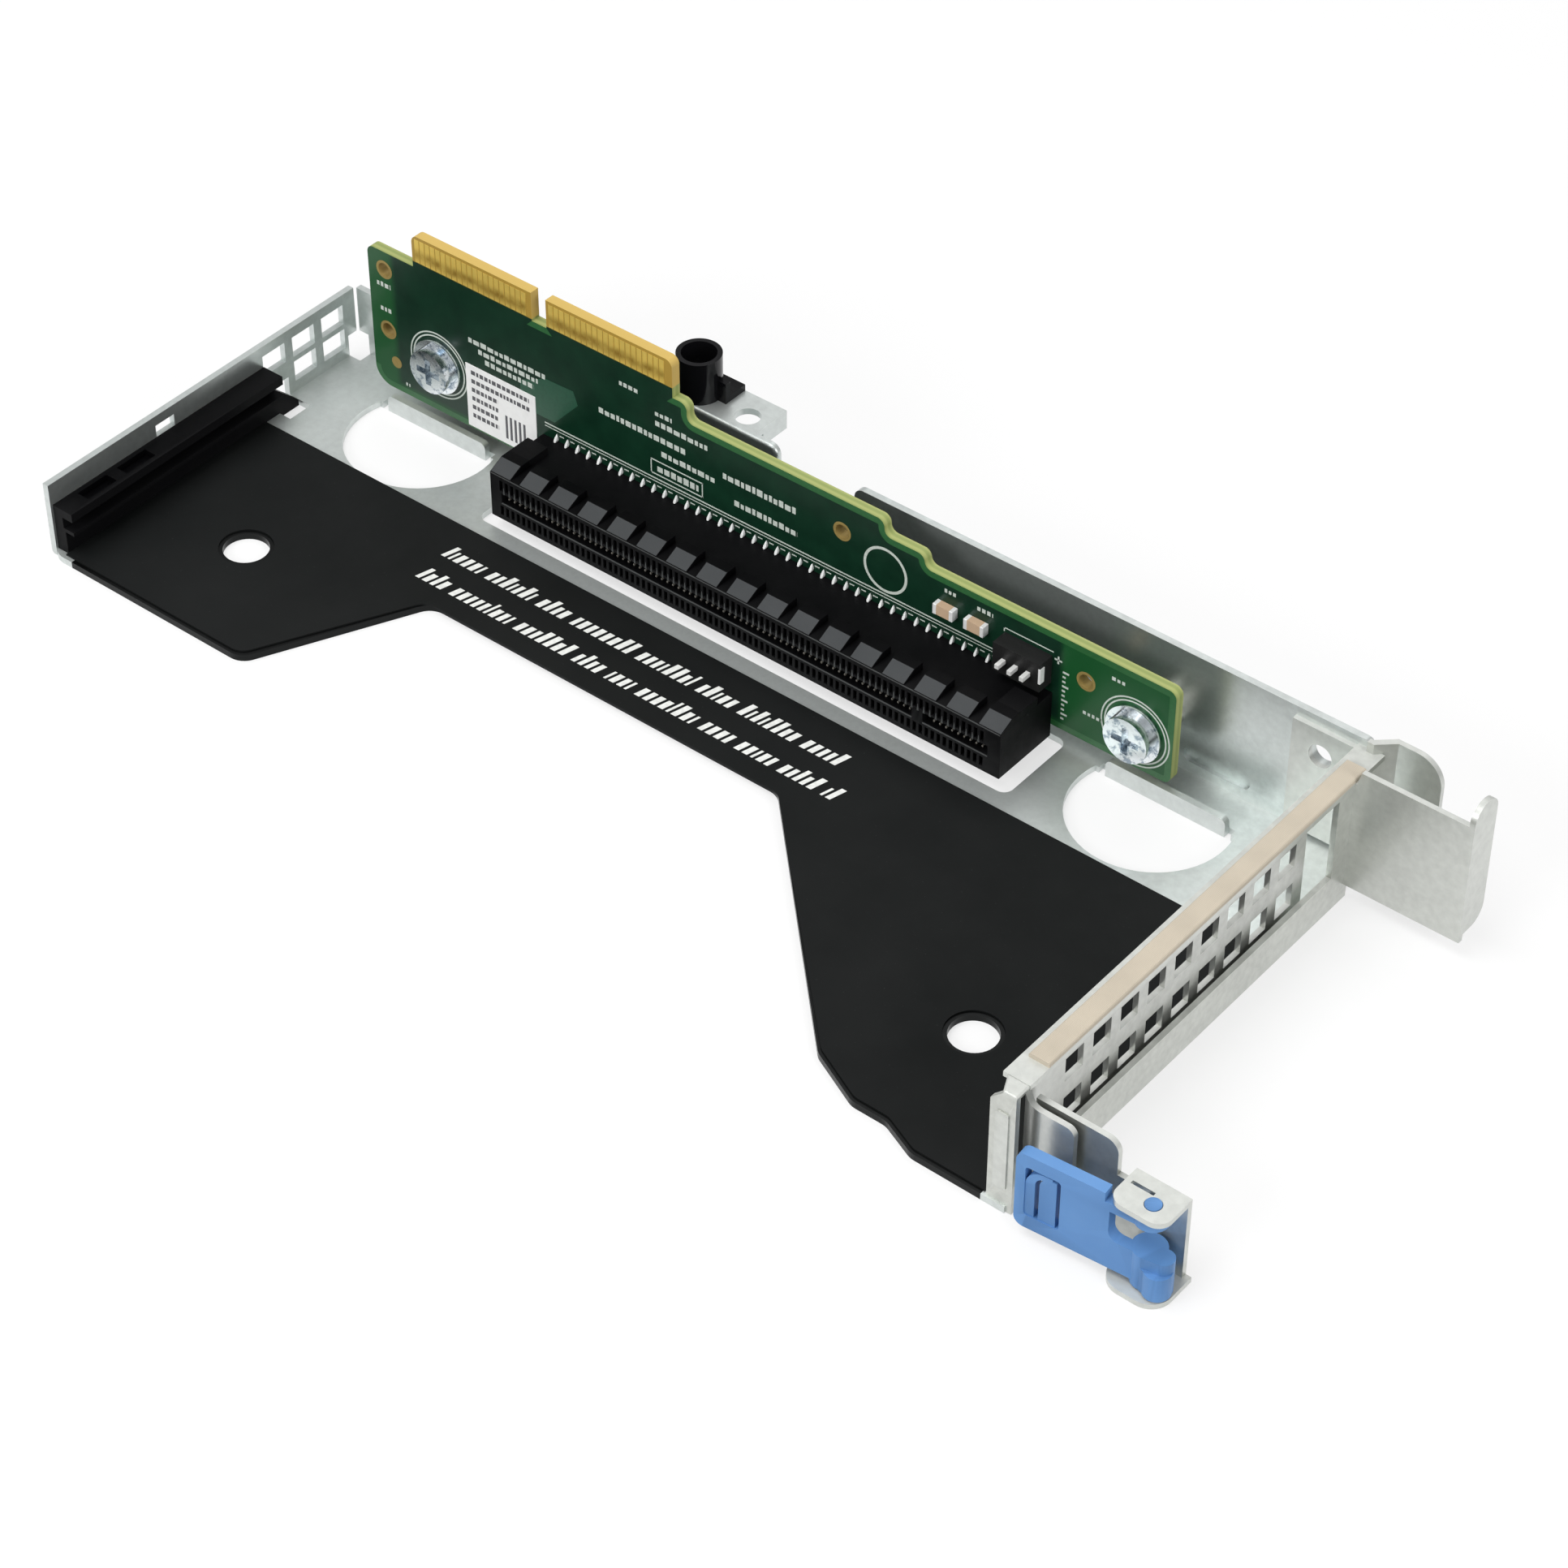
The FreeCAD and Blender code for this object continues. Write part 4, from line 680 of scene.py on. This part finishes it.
SMALL_PRINT_GAP = 0.28
# Printed lines: a frame, the slot's outline, the header's corner and its cross, as x, x, z and z.
PRINTED_LINES = (
    (20.0, 20.18, 10.4, 12.9),
    (29.2, 29.38, 10.4, 12.9),
    (20.0, 29.4, 12.75, 12.93),
    (20.0, 29.4, 10.4, 10.58),
    (0.4, 79.8, 9.62, 9.82),
    (0.4, 79.8, 9.14, 9.26),
    (80.8, 88.9, 14.2, 14.36),
    (80.8, 80.96, 13.7, 14.36),
    (89.1, 90.3, 13.2, 13.45),
    (89.58, 89.83, 12.7, 13.95),
)
TICK_COUNT = 11
TICK_LEFT = 90.5
TICK_TOP = 11.6
TICK_PITCH = 0.78

TAIL_START = 2.65
TAIL_PITCH = 2.0
TAIL_COUNT = 42
TAIL_STARTS = [TAIL_START + number * TAIL_PITCH for number in range(TAIL_COUNT)]


def word_bars(x0, x1, foot, height, shortest, longest):
    """A row of short bars that stands for a line of small print."""
    made = []
    x = x0
    while x < x1:
        length = random.uniform(shortest, longest)
        top = foot + height * random.uniform(0.75, 1.0)
        made.append(bar_on_board(x, min(x + length, x1), foot, top))
        x += length + SMALL_PRINT_GAP
    return made


def print_board():
    """Rings round the screws, a plain ring, small rows of bars and the slot's outline."""
    outlines = []
    for x, z in SCREW_PLACES:
        for radius in SCREW_RING_RADII:
            outlines += ring_on_board(x, z, radius, SCREW_RING_WIDTH)
    outlines += ring_on_board(*PLAIN_RING)
    for row in SMALL_PRINT:
        outlines += word_bars(*row)
    outlines += [bar_on_board(*line) for line in PRINTED_LINES]
    outlines += [bar_on_board(x + 0.45, x + 1.25, 8.42, 8.58) for x in TAIL_STARTS]
    for number in range(TICK_COUNT):
        length = 0.5 if number % 3 else 1.0
        z = TICK_TOP - number * TICK_PITCH
        outlines.append(bar_on_board(TICK_LEFT, TICK_LEFT + length, z, z + 0.3))
    return prisms("board_print", outlines, PRINT_PALE)


COPPER_PATCH = [(-4.0, 10.5), (2.3, 10.5), (6.8, 15.5), (6.0, 17.6), (0.9, 17.4), (-4.0, 15.0)]


def patch_on_board():
    """The lighter copper area beside the label."""
    patch = facing_outline(COPPER_PATCH, BOARD_FRONT, BOARD_FRONT - HAIR)
    return prisms("mask_area", [patch], MASK_PATCH)


RIM_WIDTH = 1.0
RIM_LIFT = 0.015
HOLE_REACH = 5.5
TONGUE_REACH = 4.6


def mask_rim():
    """The paler green strip inside the board's outline, where no copper lies under the mask."""
    board = nodes["riser_board"]
    work = bmesh.new()
    work.from_mesh(board.data)
    bmesh.ops.transform(work, matrix=board.matrix_world, verts=work.verts)
    front = DATUM.y + BOARD_FRONT * MM
    work.normal_update()
    others = [face for face in work.faces
              if face.normal.y > -0.9 or abs(face.calc_center_median().y - front) > 0.1 * MM]
    bmesh.ops.delete(work, geom=others, context="FACES")
    bmesh.ops.remove_doubles(work, verts=work.verts, dist=0.001 * MM)
    inner = set(work.faces)
    bmesh.ops.inset_region(work, faces=list(inner), thickness=RIM_WIDTH * MM, use_boundary=True,
                           use_even_offset=True)
    holes = [Vector(place) for place in SCREW_PLACES + TOOLING_PLACES]

    def by_hole(face):
        """Whether a face lies round one of the board's holes."""
        place = (face.calc_center_median() - DATUM) / MM
        return any((Vector((place.x, place.z)) - hole).length < HOLE_REACH for hole in holes)

    top = max(vert.co.z for vert in work.verts) - TONGUE_REACH * MM
    drop = [face for face in work.faces
            if face in inner or by_hole(face) or max(vert.co.z for vert in face.verts) > top]
    bmesh.ops.delete(work, geom=drop, context="FACES")
    for vert in work.verts:
        vert.co.y = front - RIM_LIFT * MM
    mesh = bpy.data.meshes.new("mask_rim")
    work.to_mesh(mesh)
    work.free()
    return finish_piece("mask_rim", mesh, MASK_RIM)


def hole_rings():
    """Bare rings round the tooling holes, one filled hole, and the holes' plated walls."""
    outlines = []
    for x, z in TOOLING_PLACES:
        outlines += ring_on_board(x, z, 1.50, 0.32, 28)
    outlines += ring_on_board(-28.2, 6.9, 0.95, 0.90, 24)
    for x, z in TOOLING_PLACES:
        outlines += ring_on_board(x, z, 1.16, 0.08, 28, BOARD_FRONT - PRINT_THICK, BOARD_BACK)
    return prisms("hole_rings", outlines, HOLE_BRASS)


LABEL_ROWS = 6
LABEL_LONG_ROWS = 2
LABEL_ROW_PITCH = 1.5
LABEL_STRIPES = 5


def label_print():
    """Plain grey rows and a striped square on the label."""
    low, high = box_of("board_label")
    width = high.x - low.x
    rings = []
    for row in range(LABEL_ROWS):
        foot = high.z - 1.6 - row * LABEL_ROW_PITCH
        end = high.x - 1.2 if row < LABEL_LONG_ROWS else low.x + width * 0.45
        x = low.x + 1.0
        while x < end:
            length = random.uniform(0.35, 0.8)
            rings.append(rectangle(x, min(x + length, end), foot, foot + 0.7))
            x += length + 0.22
    for stripe in range(LABEL_STRIPES):
        x = low.x + width * 0.55 + stripe * 0.85
        rings.append(rectangle(x, x + 0.42, low.z + 1.0, low.z + 5.0))
    outlines = [facing_outline(ring, low.y, low.y - HAIR) for ring in rings]
    return prisms("label_print", outlines, PRINT_GREY)


# Slot and metal on the board

SLOT_TOP = 7.5
SLOT_END = 2.0
KEY_LEFT = SLOT_SIZE.x - 14.5
KEY_RIGHT = KEY_LEFT + 1.8
SLITS = [(SLOT_END, KEY_LEFT), (KEY_RIGHT, SLOT_SIZE.x - SLOT_END)]
SLIT_LOW, SLIT_HIGH = 2.9, 4.6
SLIT_DEPTH = 8.5
CELL_COUNT = int(SLOT_SIZE.x - 3.0)
CELL_START = 1.7
CELL_WIDTH = 0.58
CELL_ROWS = [(0.75, 2.35), (4.95, 6.75)]
CELL_DEPTH = 0.9

TOOTH_COUNT = 17
TOOTH_WIDTH = 3.7
TOOTH_PITCH = (SLOT_SIZE.x - TOOTH_WIDTH) / (TOOTH_COUNT - 1)
TOOTH_BACK = 4.2
TOOTH_CREST = 2.5
END_BLOCK_BACK = 8.0

FINGER_PITCH = 1.0
FINGER_WIDTH = 0.84
FINGER_SPAN = (26.7, 30.5)
FINGER_PROUD = 0.035
TONGUES = ((-23.1, -2.0), (1.9, 23.8))


def edge_fingers(side):
    """The gold contact fingers of both tongues on one face of the board."""
    if side == "front":
        face, outside = BOARD_FRONT, BOARD_FRONT - FINGER_PROUD
    else:
        face, outside = BOARD_BACK, BOARD_BACK + FINGER_PROUD
    outlines = []
    for start, end in TONGUES:
        for number in range(int((end - start) / FINGER_PITCH)):
            x = start + number * FINGER_PITCH + (FINGER_PITCH - FINGER_WIDTH) / 2
            ring = rectangle(x, x + FINGER_WIDTH, *FINGER_SPAN)
            outlines.append(facing_outline(ring, face, outside))
    return prisms("edge_fingers_" + side, outlines, CONTACT_GOLD)


# A solder tail's corners: x from its middle, and z.
TAIL_DROP = ((0.0, 7.50), (0.20, 7.60), (0.26, 7.90), (0.18, 8.35),
             (0.02, 8.75), (-0.12, 8.35), (-0.20, 7.90), (-0.16, 7.60))
TAIL_THICK_LOW, TAIL_THICK_HIGH = 0.75, 0.20


def slot_tails():
    """The drop-shaped solder tails along the top of the slot housing."""
    foot, tip = TAIL_DROP[0][1], max(z for _, z in TAIL_DROP)
    outlines = []
    for start in TAIL_STARTS:
        drop = [(start + x, z) for x, z in TAIL_DROP]
        front = [(x, BOARD_FRONT - TAIL_THICK_LOW
                  + (TAIL_THICK_LOW - TAIL_THICK_HIGH) * (z - foot) / (tip - foot), z)
                 for x, z in drop]
        outlines.append(([(x, BOARD_FRONT, z) for x, z in drop], front))
    return prisms("slot_tails", outlines, TAIL_TIN, bevel=0.06)


def stepped_cuts(*spans):
    """Sorted places of all span ends, each once."""
    return sorted({round(place, 4) for span in spans for place in span})


def slot_housing():
    """The slot housing with its slit, its two rows of contact cells and its teeth."""
    length, depth, rise = SLOT_SIZE.x, BOARD_FRONT, SLOT_SIZE.z
    cells = [(CELL_START + number, CELL_START + CELL_WIDTH + number)
             for number in range(CELL_COUNT)]
    x_cuts = stepped_cuts((0.0, length), *SLITS, *cells)
    z_cuts = stepped_cuts((0.0, SLOT_TOP), (SLIT_LOW, SLIT_HIGH), *CELL_ROWS)

    def inside(place, spans):
        """Whether a place lies in one of the spans."""
        return any(low < place < high for low, high in spans)

    def recess(x, z):
        """How far back the front face lies at a place."""
        if SLIT_LOW < z < SLIT_HIGH and inside(x, SLITS):
            return SLIT_DEPTH
        if inside(z, CELL_ROWS) and inside(x, cells):
            return CELL_DEPTH
        return 0.0

    work = bmesh.new()

    def face(*corners):
        """One quad from four places."""
        work.faces.new([work.verts.new(at(*corner)) for corner in corners])

    columns = list(zip(x_cuts, x_cuts[1:]))
    bands = list(zip(z_cuts, z_cuts[1:]))
    depths = [[recess((x0 + x1) / 2, (z0 + z1) / 2) for z0, z1 in bands] for x0, x1 in columns]
    for column, (x0, x1) in enumerate(columns):
        for band, (z0, z1) in enumerate(bands):
            y = depths[column][band]
            face((x0, y, z0), (x1, y, z0), (x1, y, z1), (x0, y, z1))
            if column and depths[column - 1][band] != y:
                other = depths[column - 1][band]
                face((x0, y, z0), (x0, y, z1), (x0, other, z1), (x0, other, z0))
            if band and depths[column][band - 1] != y:
                other = depths[column][band - 1]
                face((x0, y, z0), (x0, other, z0), (x1, other, z0), (x1, y, z0))
    top = SLOT_TOP
    for x0, x1 in columns:
        face((x0, 0.0, 0.0), (x0, depth, 0.0), (x1, depth, 0.0), (x1, 0.0, 0.0))
        face((x0, 0.0, top), (x1, 0.0, top), (x1, depth, top), (x0, depth, top))
        face((x0, depth, 0.0), (x0, depth, top), (x1, depth, top), (x1, depth, 0.0))
    for z0, z1 in bands:
        face((0.0, 0.0, z0), (0.0, 0.0, z1), (0.0, depth, z1), (0.0, depth, z0))
        face((length, 0.0, z0), (length, depth, z0), (length, depth, z1), (length, 0.0, z1))
    bmesh.ops.remove_doubles(work, verts=work.verts, dist=0.01 * MM)
    bmesh.ops.recalc_face_normals(work, faces=work.faces)

    tooth = [(0.0, top), (TOOTH_BACK, top), (TOOTH_BACK, rise), (TOOTH_CREST, rise)]
    for number in range(TOOTH_COUNT):
        x0 = number * TOOTH_PITCH
        ends = [[work.verts.new(at(x, y, z)) for y, z in tooth] for x in (x0, x0 + TOOTH_WIDTH)]
        work.faces.new(ends[0])
        work.faces.new(reversed(ends[1]))
        for index in range(4):
            after = (index + 1) % 4
            work.faces.new((ends[0][after], ends[0][index], ends[1][index], ends[1][after]))
    for x0 in (0.0, length - TOOTH_WIDTH):
        block = box_outline(x0, x0 + TOOTH_WIDTH, TOOTH_BACK, END_BLOCK_BACK, top, rise)
        rings = [[work.verts.new(at(*corner)) for corner in ring] for ring in block]
        work.faces.new(reversed(rings[0]))
        work.faces.new(rings[1])
        for index in range(4):
            after = (index + 1) % 4
            work.faces.new((rings[0][index], rings[0][after], rings[1][after], rings[1][index]))
    mesh = bpy.data.meshes.new("slot_housing_cells")
    work.to_mesh(mesh)
    work.free()
    piece = finish_piece(
        "slot_housing_cells", mesh, MATERIALS["slot_housing"], bevel=0.07)
    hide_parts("slot_housing")
    return piece


def slit_contacts():
    """The contact tips that show in the slit."""
    outlines = []
    for number in range(int(SLOT_SIZE.x - 4.0)):
        x = SLOT_END + 0.3 + number
        if not KEY_LEFT - 0.5 < x < KEY_RIGHT + 0.1:
            outlines.append(box_outline(x, x + 0.26, 1.0, 1.5, SLIT_LOW, SLIT_LOW + 0.3))
    return prisms("slit_contacts", outlines, CONTACT_TIP, bevel=0.06)


def slit_highlights():
    """Painted highlights along the edges of the slit, of its ribs and of the housing's front."""
    outlines = [box_outline(x0, x1, -HAIR, 0.10, SLIT_LOW - 0.14, SLIT_LOW + HAIR)
                for x0, x1 in SLITS]
    outlines.append(box_outline(0.1, SLOT_SIZE.x - 0.1, -HAIR, 0.06, SLOT_TOP - 0.14,
                                SLOT_TOP + 0.01))
    for number in range(CELL_COUNT - 1):
        x = CELL_START + (1.0 + CELL_WIDTH) / 2 + number
        spike = [(x - 0.17, 4.56), (x + 0.17, 4.56), (x + 0.03, 5.7), (x - 0.03, 5.7)]
        outlines.append(facing_outline(spike, 0.05, -HAIR))
    return prisms("slit_highlights", outlines, LIP_HIGHLIGHT_GREY)


# The painted highlight on a tooth's slope: its inset at the ends, and y and z at its foot and its
# crest.
SLOPE_INSET = 0.08
SLOPE_FOOT = (0.16, SLOT_TOP + 0.08)
SLOPE_CREST = (2.42, 8.66)
SLOPE_LIFT = (-0.0129, 0.027)


def tooth_highlights():
    """Painted highlights on the slopes of the housing's teeth."""
    outlines = []
    for number in range(TOOTH_COUNT):
        x0 = number * TOOTH_PITCH + SLOPE_INSET
        x1 = number * TOOTH_PITCH + TOOTH_WIDTH - SLOPE_INSET
        low = [(x0, *SLOPE_FOOT), (x1, *SLOPE_FOOT), (x1, *SLOPE_CREST), (x0, *SLOPE_CREST)]
        outlines.append((low, [(x, y + SLOPE_LIFT[0], z + SLOPE_LIFT[1]) for x, y, z in low]))
    return prisms("tooth_highlights", outlines, TOOTH_HIGHLIGHT_GREY)


CHIP_END = 0.55
CHIP_PROUD = 0.05


def chip_ends():
    """The tinned ends of the chip capacitors."""
    outlines = []
    for name in ("chip_capacitor_left", "chip_capacitor_right"):
        low, high = box_of(name)
        for x0, x1 in ((low.x - CHIP_PROUD, low.x + CHIP_END),
                       (high.x - CHIP_END, high.x + CHIP_PROUD)):
            outlines.append(box_outline(x0, x1, low.y - CHIP_PROUD, high.y,
                                        low.z - CHIP_PROUD, high.z + CHIP_PROUD))
    return prisms("chip_ends", outlines, TAIL_TIN, bevel=0.08)


def header_clip():
    """The tinned clip at the header's right-hand front edge."""
    low, high = box_of("header_block")
    clip = box_outline(high.x - 0.25, high.x + 0.12, low.y - 0.06, low.y + 0.9,
                       low.z + 1.4, high.z - 0.7)
    return prisms("header_clip", [clip], TAIL_TIN, bevel=0.05)


BRACKET_THICK = 0.8
FOLD_RING = ((132.0, -56.3), (133.3, -59.02), (135.3, -59.02), (135.3, -56.3))


def ear_fold():
    """The bend that joins the bracket's top flange to its front ear."""
    flange_top = box_of("emi_gasket")[0].z
    fold = [[(x, y, z) for x, y in FOLD_RING]
            for z in (flange_top - BRACKET_THICK, flange_top + 0.01)]
    return prisms("ear_fold", [fold], MATERIALS["io_bracket"], bevel=0.25)


# Surroundings

FLOOR_REACH = 3.0
FLOOR_HEIGHT = -0.00005
FLOOR_TONE = (0.34, 0.34, 0.34)
FLOOR_GLOW = 0.64
WORLD_STRENGTH = 0.40
LIGHT_CENTRE = (55.0, -15.0, 5.0)
# Each lamp: its place from the centre in metres, its size in metres and its power in watts.
LAMPS = {
    "key": ((-0.20, -0.30, 0.98), (0.7, 0.5), 4.8),
    "front": ((-0.20, -1.00, 0.55), (0.7, 0.4), 5.4),
    "right": ((1.05, -0.20, 0.50), (0.5, 0.5), 4.6),
    "back": ((-0.25, 0.60, 0.85), (0.7, 0.5), 1.4),
}


def make_floor():
    """A plain pale floor that stays white to the camera and keeps the shadow."""
    mesh = bpy.data.meshes.new("floor")
    corners = [(x * FLOOR_REACH, y * FLOOR_REACH, FLOOR_HEIGHT)
               for x, y in ((-1, -1), (1, -1), (1, 1), (-1, 1))]
    mesh.from_pydata(corners, [], [(0, 1, 2, 3)])
    floor = bpy.data.objects.new("floor", mesh)
    bpy.context.scene.collection.objects.link(floor)
    material, tree, shader = new_material("floor_white")
    path = tree.nodes.new("ShaderNodeLightPath")
    seen = arithmetic(
        tree, "MAXIMUM", path.outputs["Is Camera Ray"], path.outputs["Is Glossy Ray"])
    seen = arithmetic(tree, "MAXIMUM", seen, path.outputs["Is Transmission Ray"])
    shade(tree, shader, {
        "Base Color": FLOOR_TONE,
        "Roughness": 0.9,
        "Specular IOR Level": 0.1,
        "Emission Color": (1.0, 1.0, 1.0),
        "Emission Strength": arithmetic(tree, "MULTIPLY", seen, FLOOR_GLOW),
    })
    mesh.materials.append(material)


def make_lamp(name, place, target, size, power):
    """A soft rectangular lamp that faces a target."""
    data = bpy.data.lights.new(name, "AREA")
    data.shape = "RECTANGLE"
    data.size, data.size_y = size
    data.energy = power
    lamp = bpy.data.objects.new(name, data)
    lamp.location = place
    lamp.rotation_mode = "QUATERNION"
    lamp.rotation_quaternion = (target - place).to_track_quat("-Z", "Y")
    bpy.context.scene.collection.objects.link(lamp)


def make_light():
    """A pale world, white to the camera, and four soft lamps."""
    world = bpy.data.worlds.new("world")
    world.use_nodes = True
    tree = world.node_tree
    background = tree.nodes["Background"]
    path = tree.nodes.new("ShaderNodeLightPath")
    mix = tree.nodes.new("ShaderNodeMix")
    mix.data_type = "FLOAT"
    mix.inputs[2].default_value = WORLD_STRENGTH
    mix.inputs[3].default_value = 1.0
    tree.links.new(path.outputs["Is Camera Ray"], mix.inputs[0])
    background.inputs["Color"].default_value = (1.0, 1.0, 1.0, 1.0)
    tree.links.new(mix.outputs[0], background.inputs["Strength"])
    bpy.context.scene.world = world
    centre = at(*LIGHT_CENTRE)
    for name, (offset, size, power) in LAMPS.items():
        make_lamp(name, centre + Vector(offset), centre, size, power)


make_camera()
dress_nodes()
print_film()
guide_shade_strip()
print_board()
patch_on_board()
mask_rim()
hole_rings()
label_print()
for side in ("front", "back"):
    edge_fingers(side)
slot_housing()
slit_contacts()
slit_highlights()
slot_tails()
tooth_highlights()
chip_ends()
header_clip()
ear_fold()
make_floor()
make_light()
bpy.context.scene.view_settings.view_transform = "Standard"
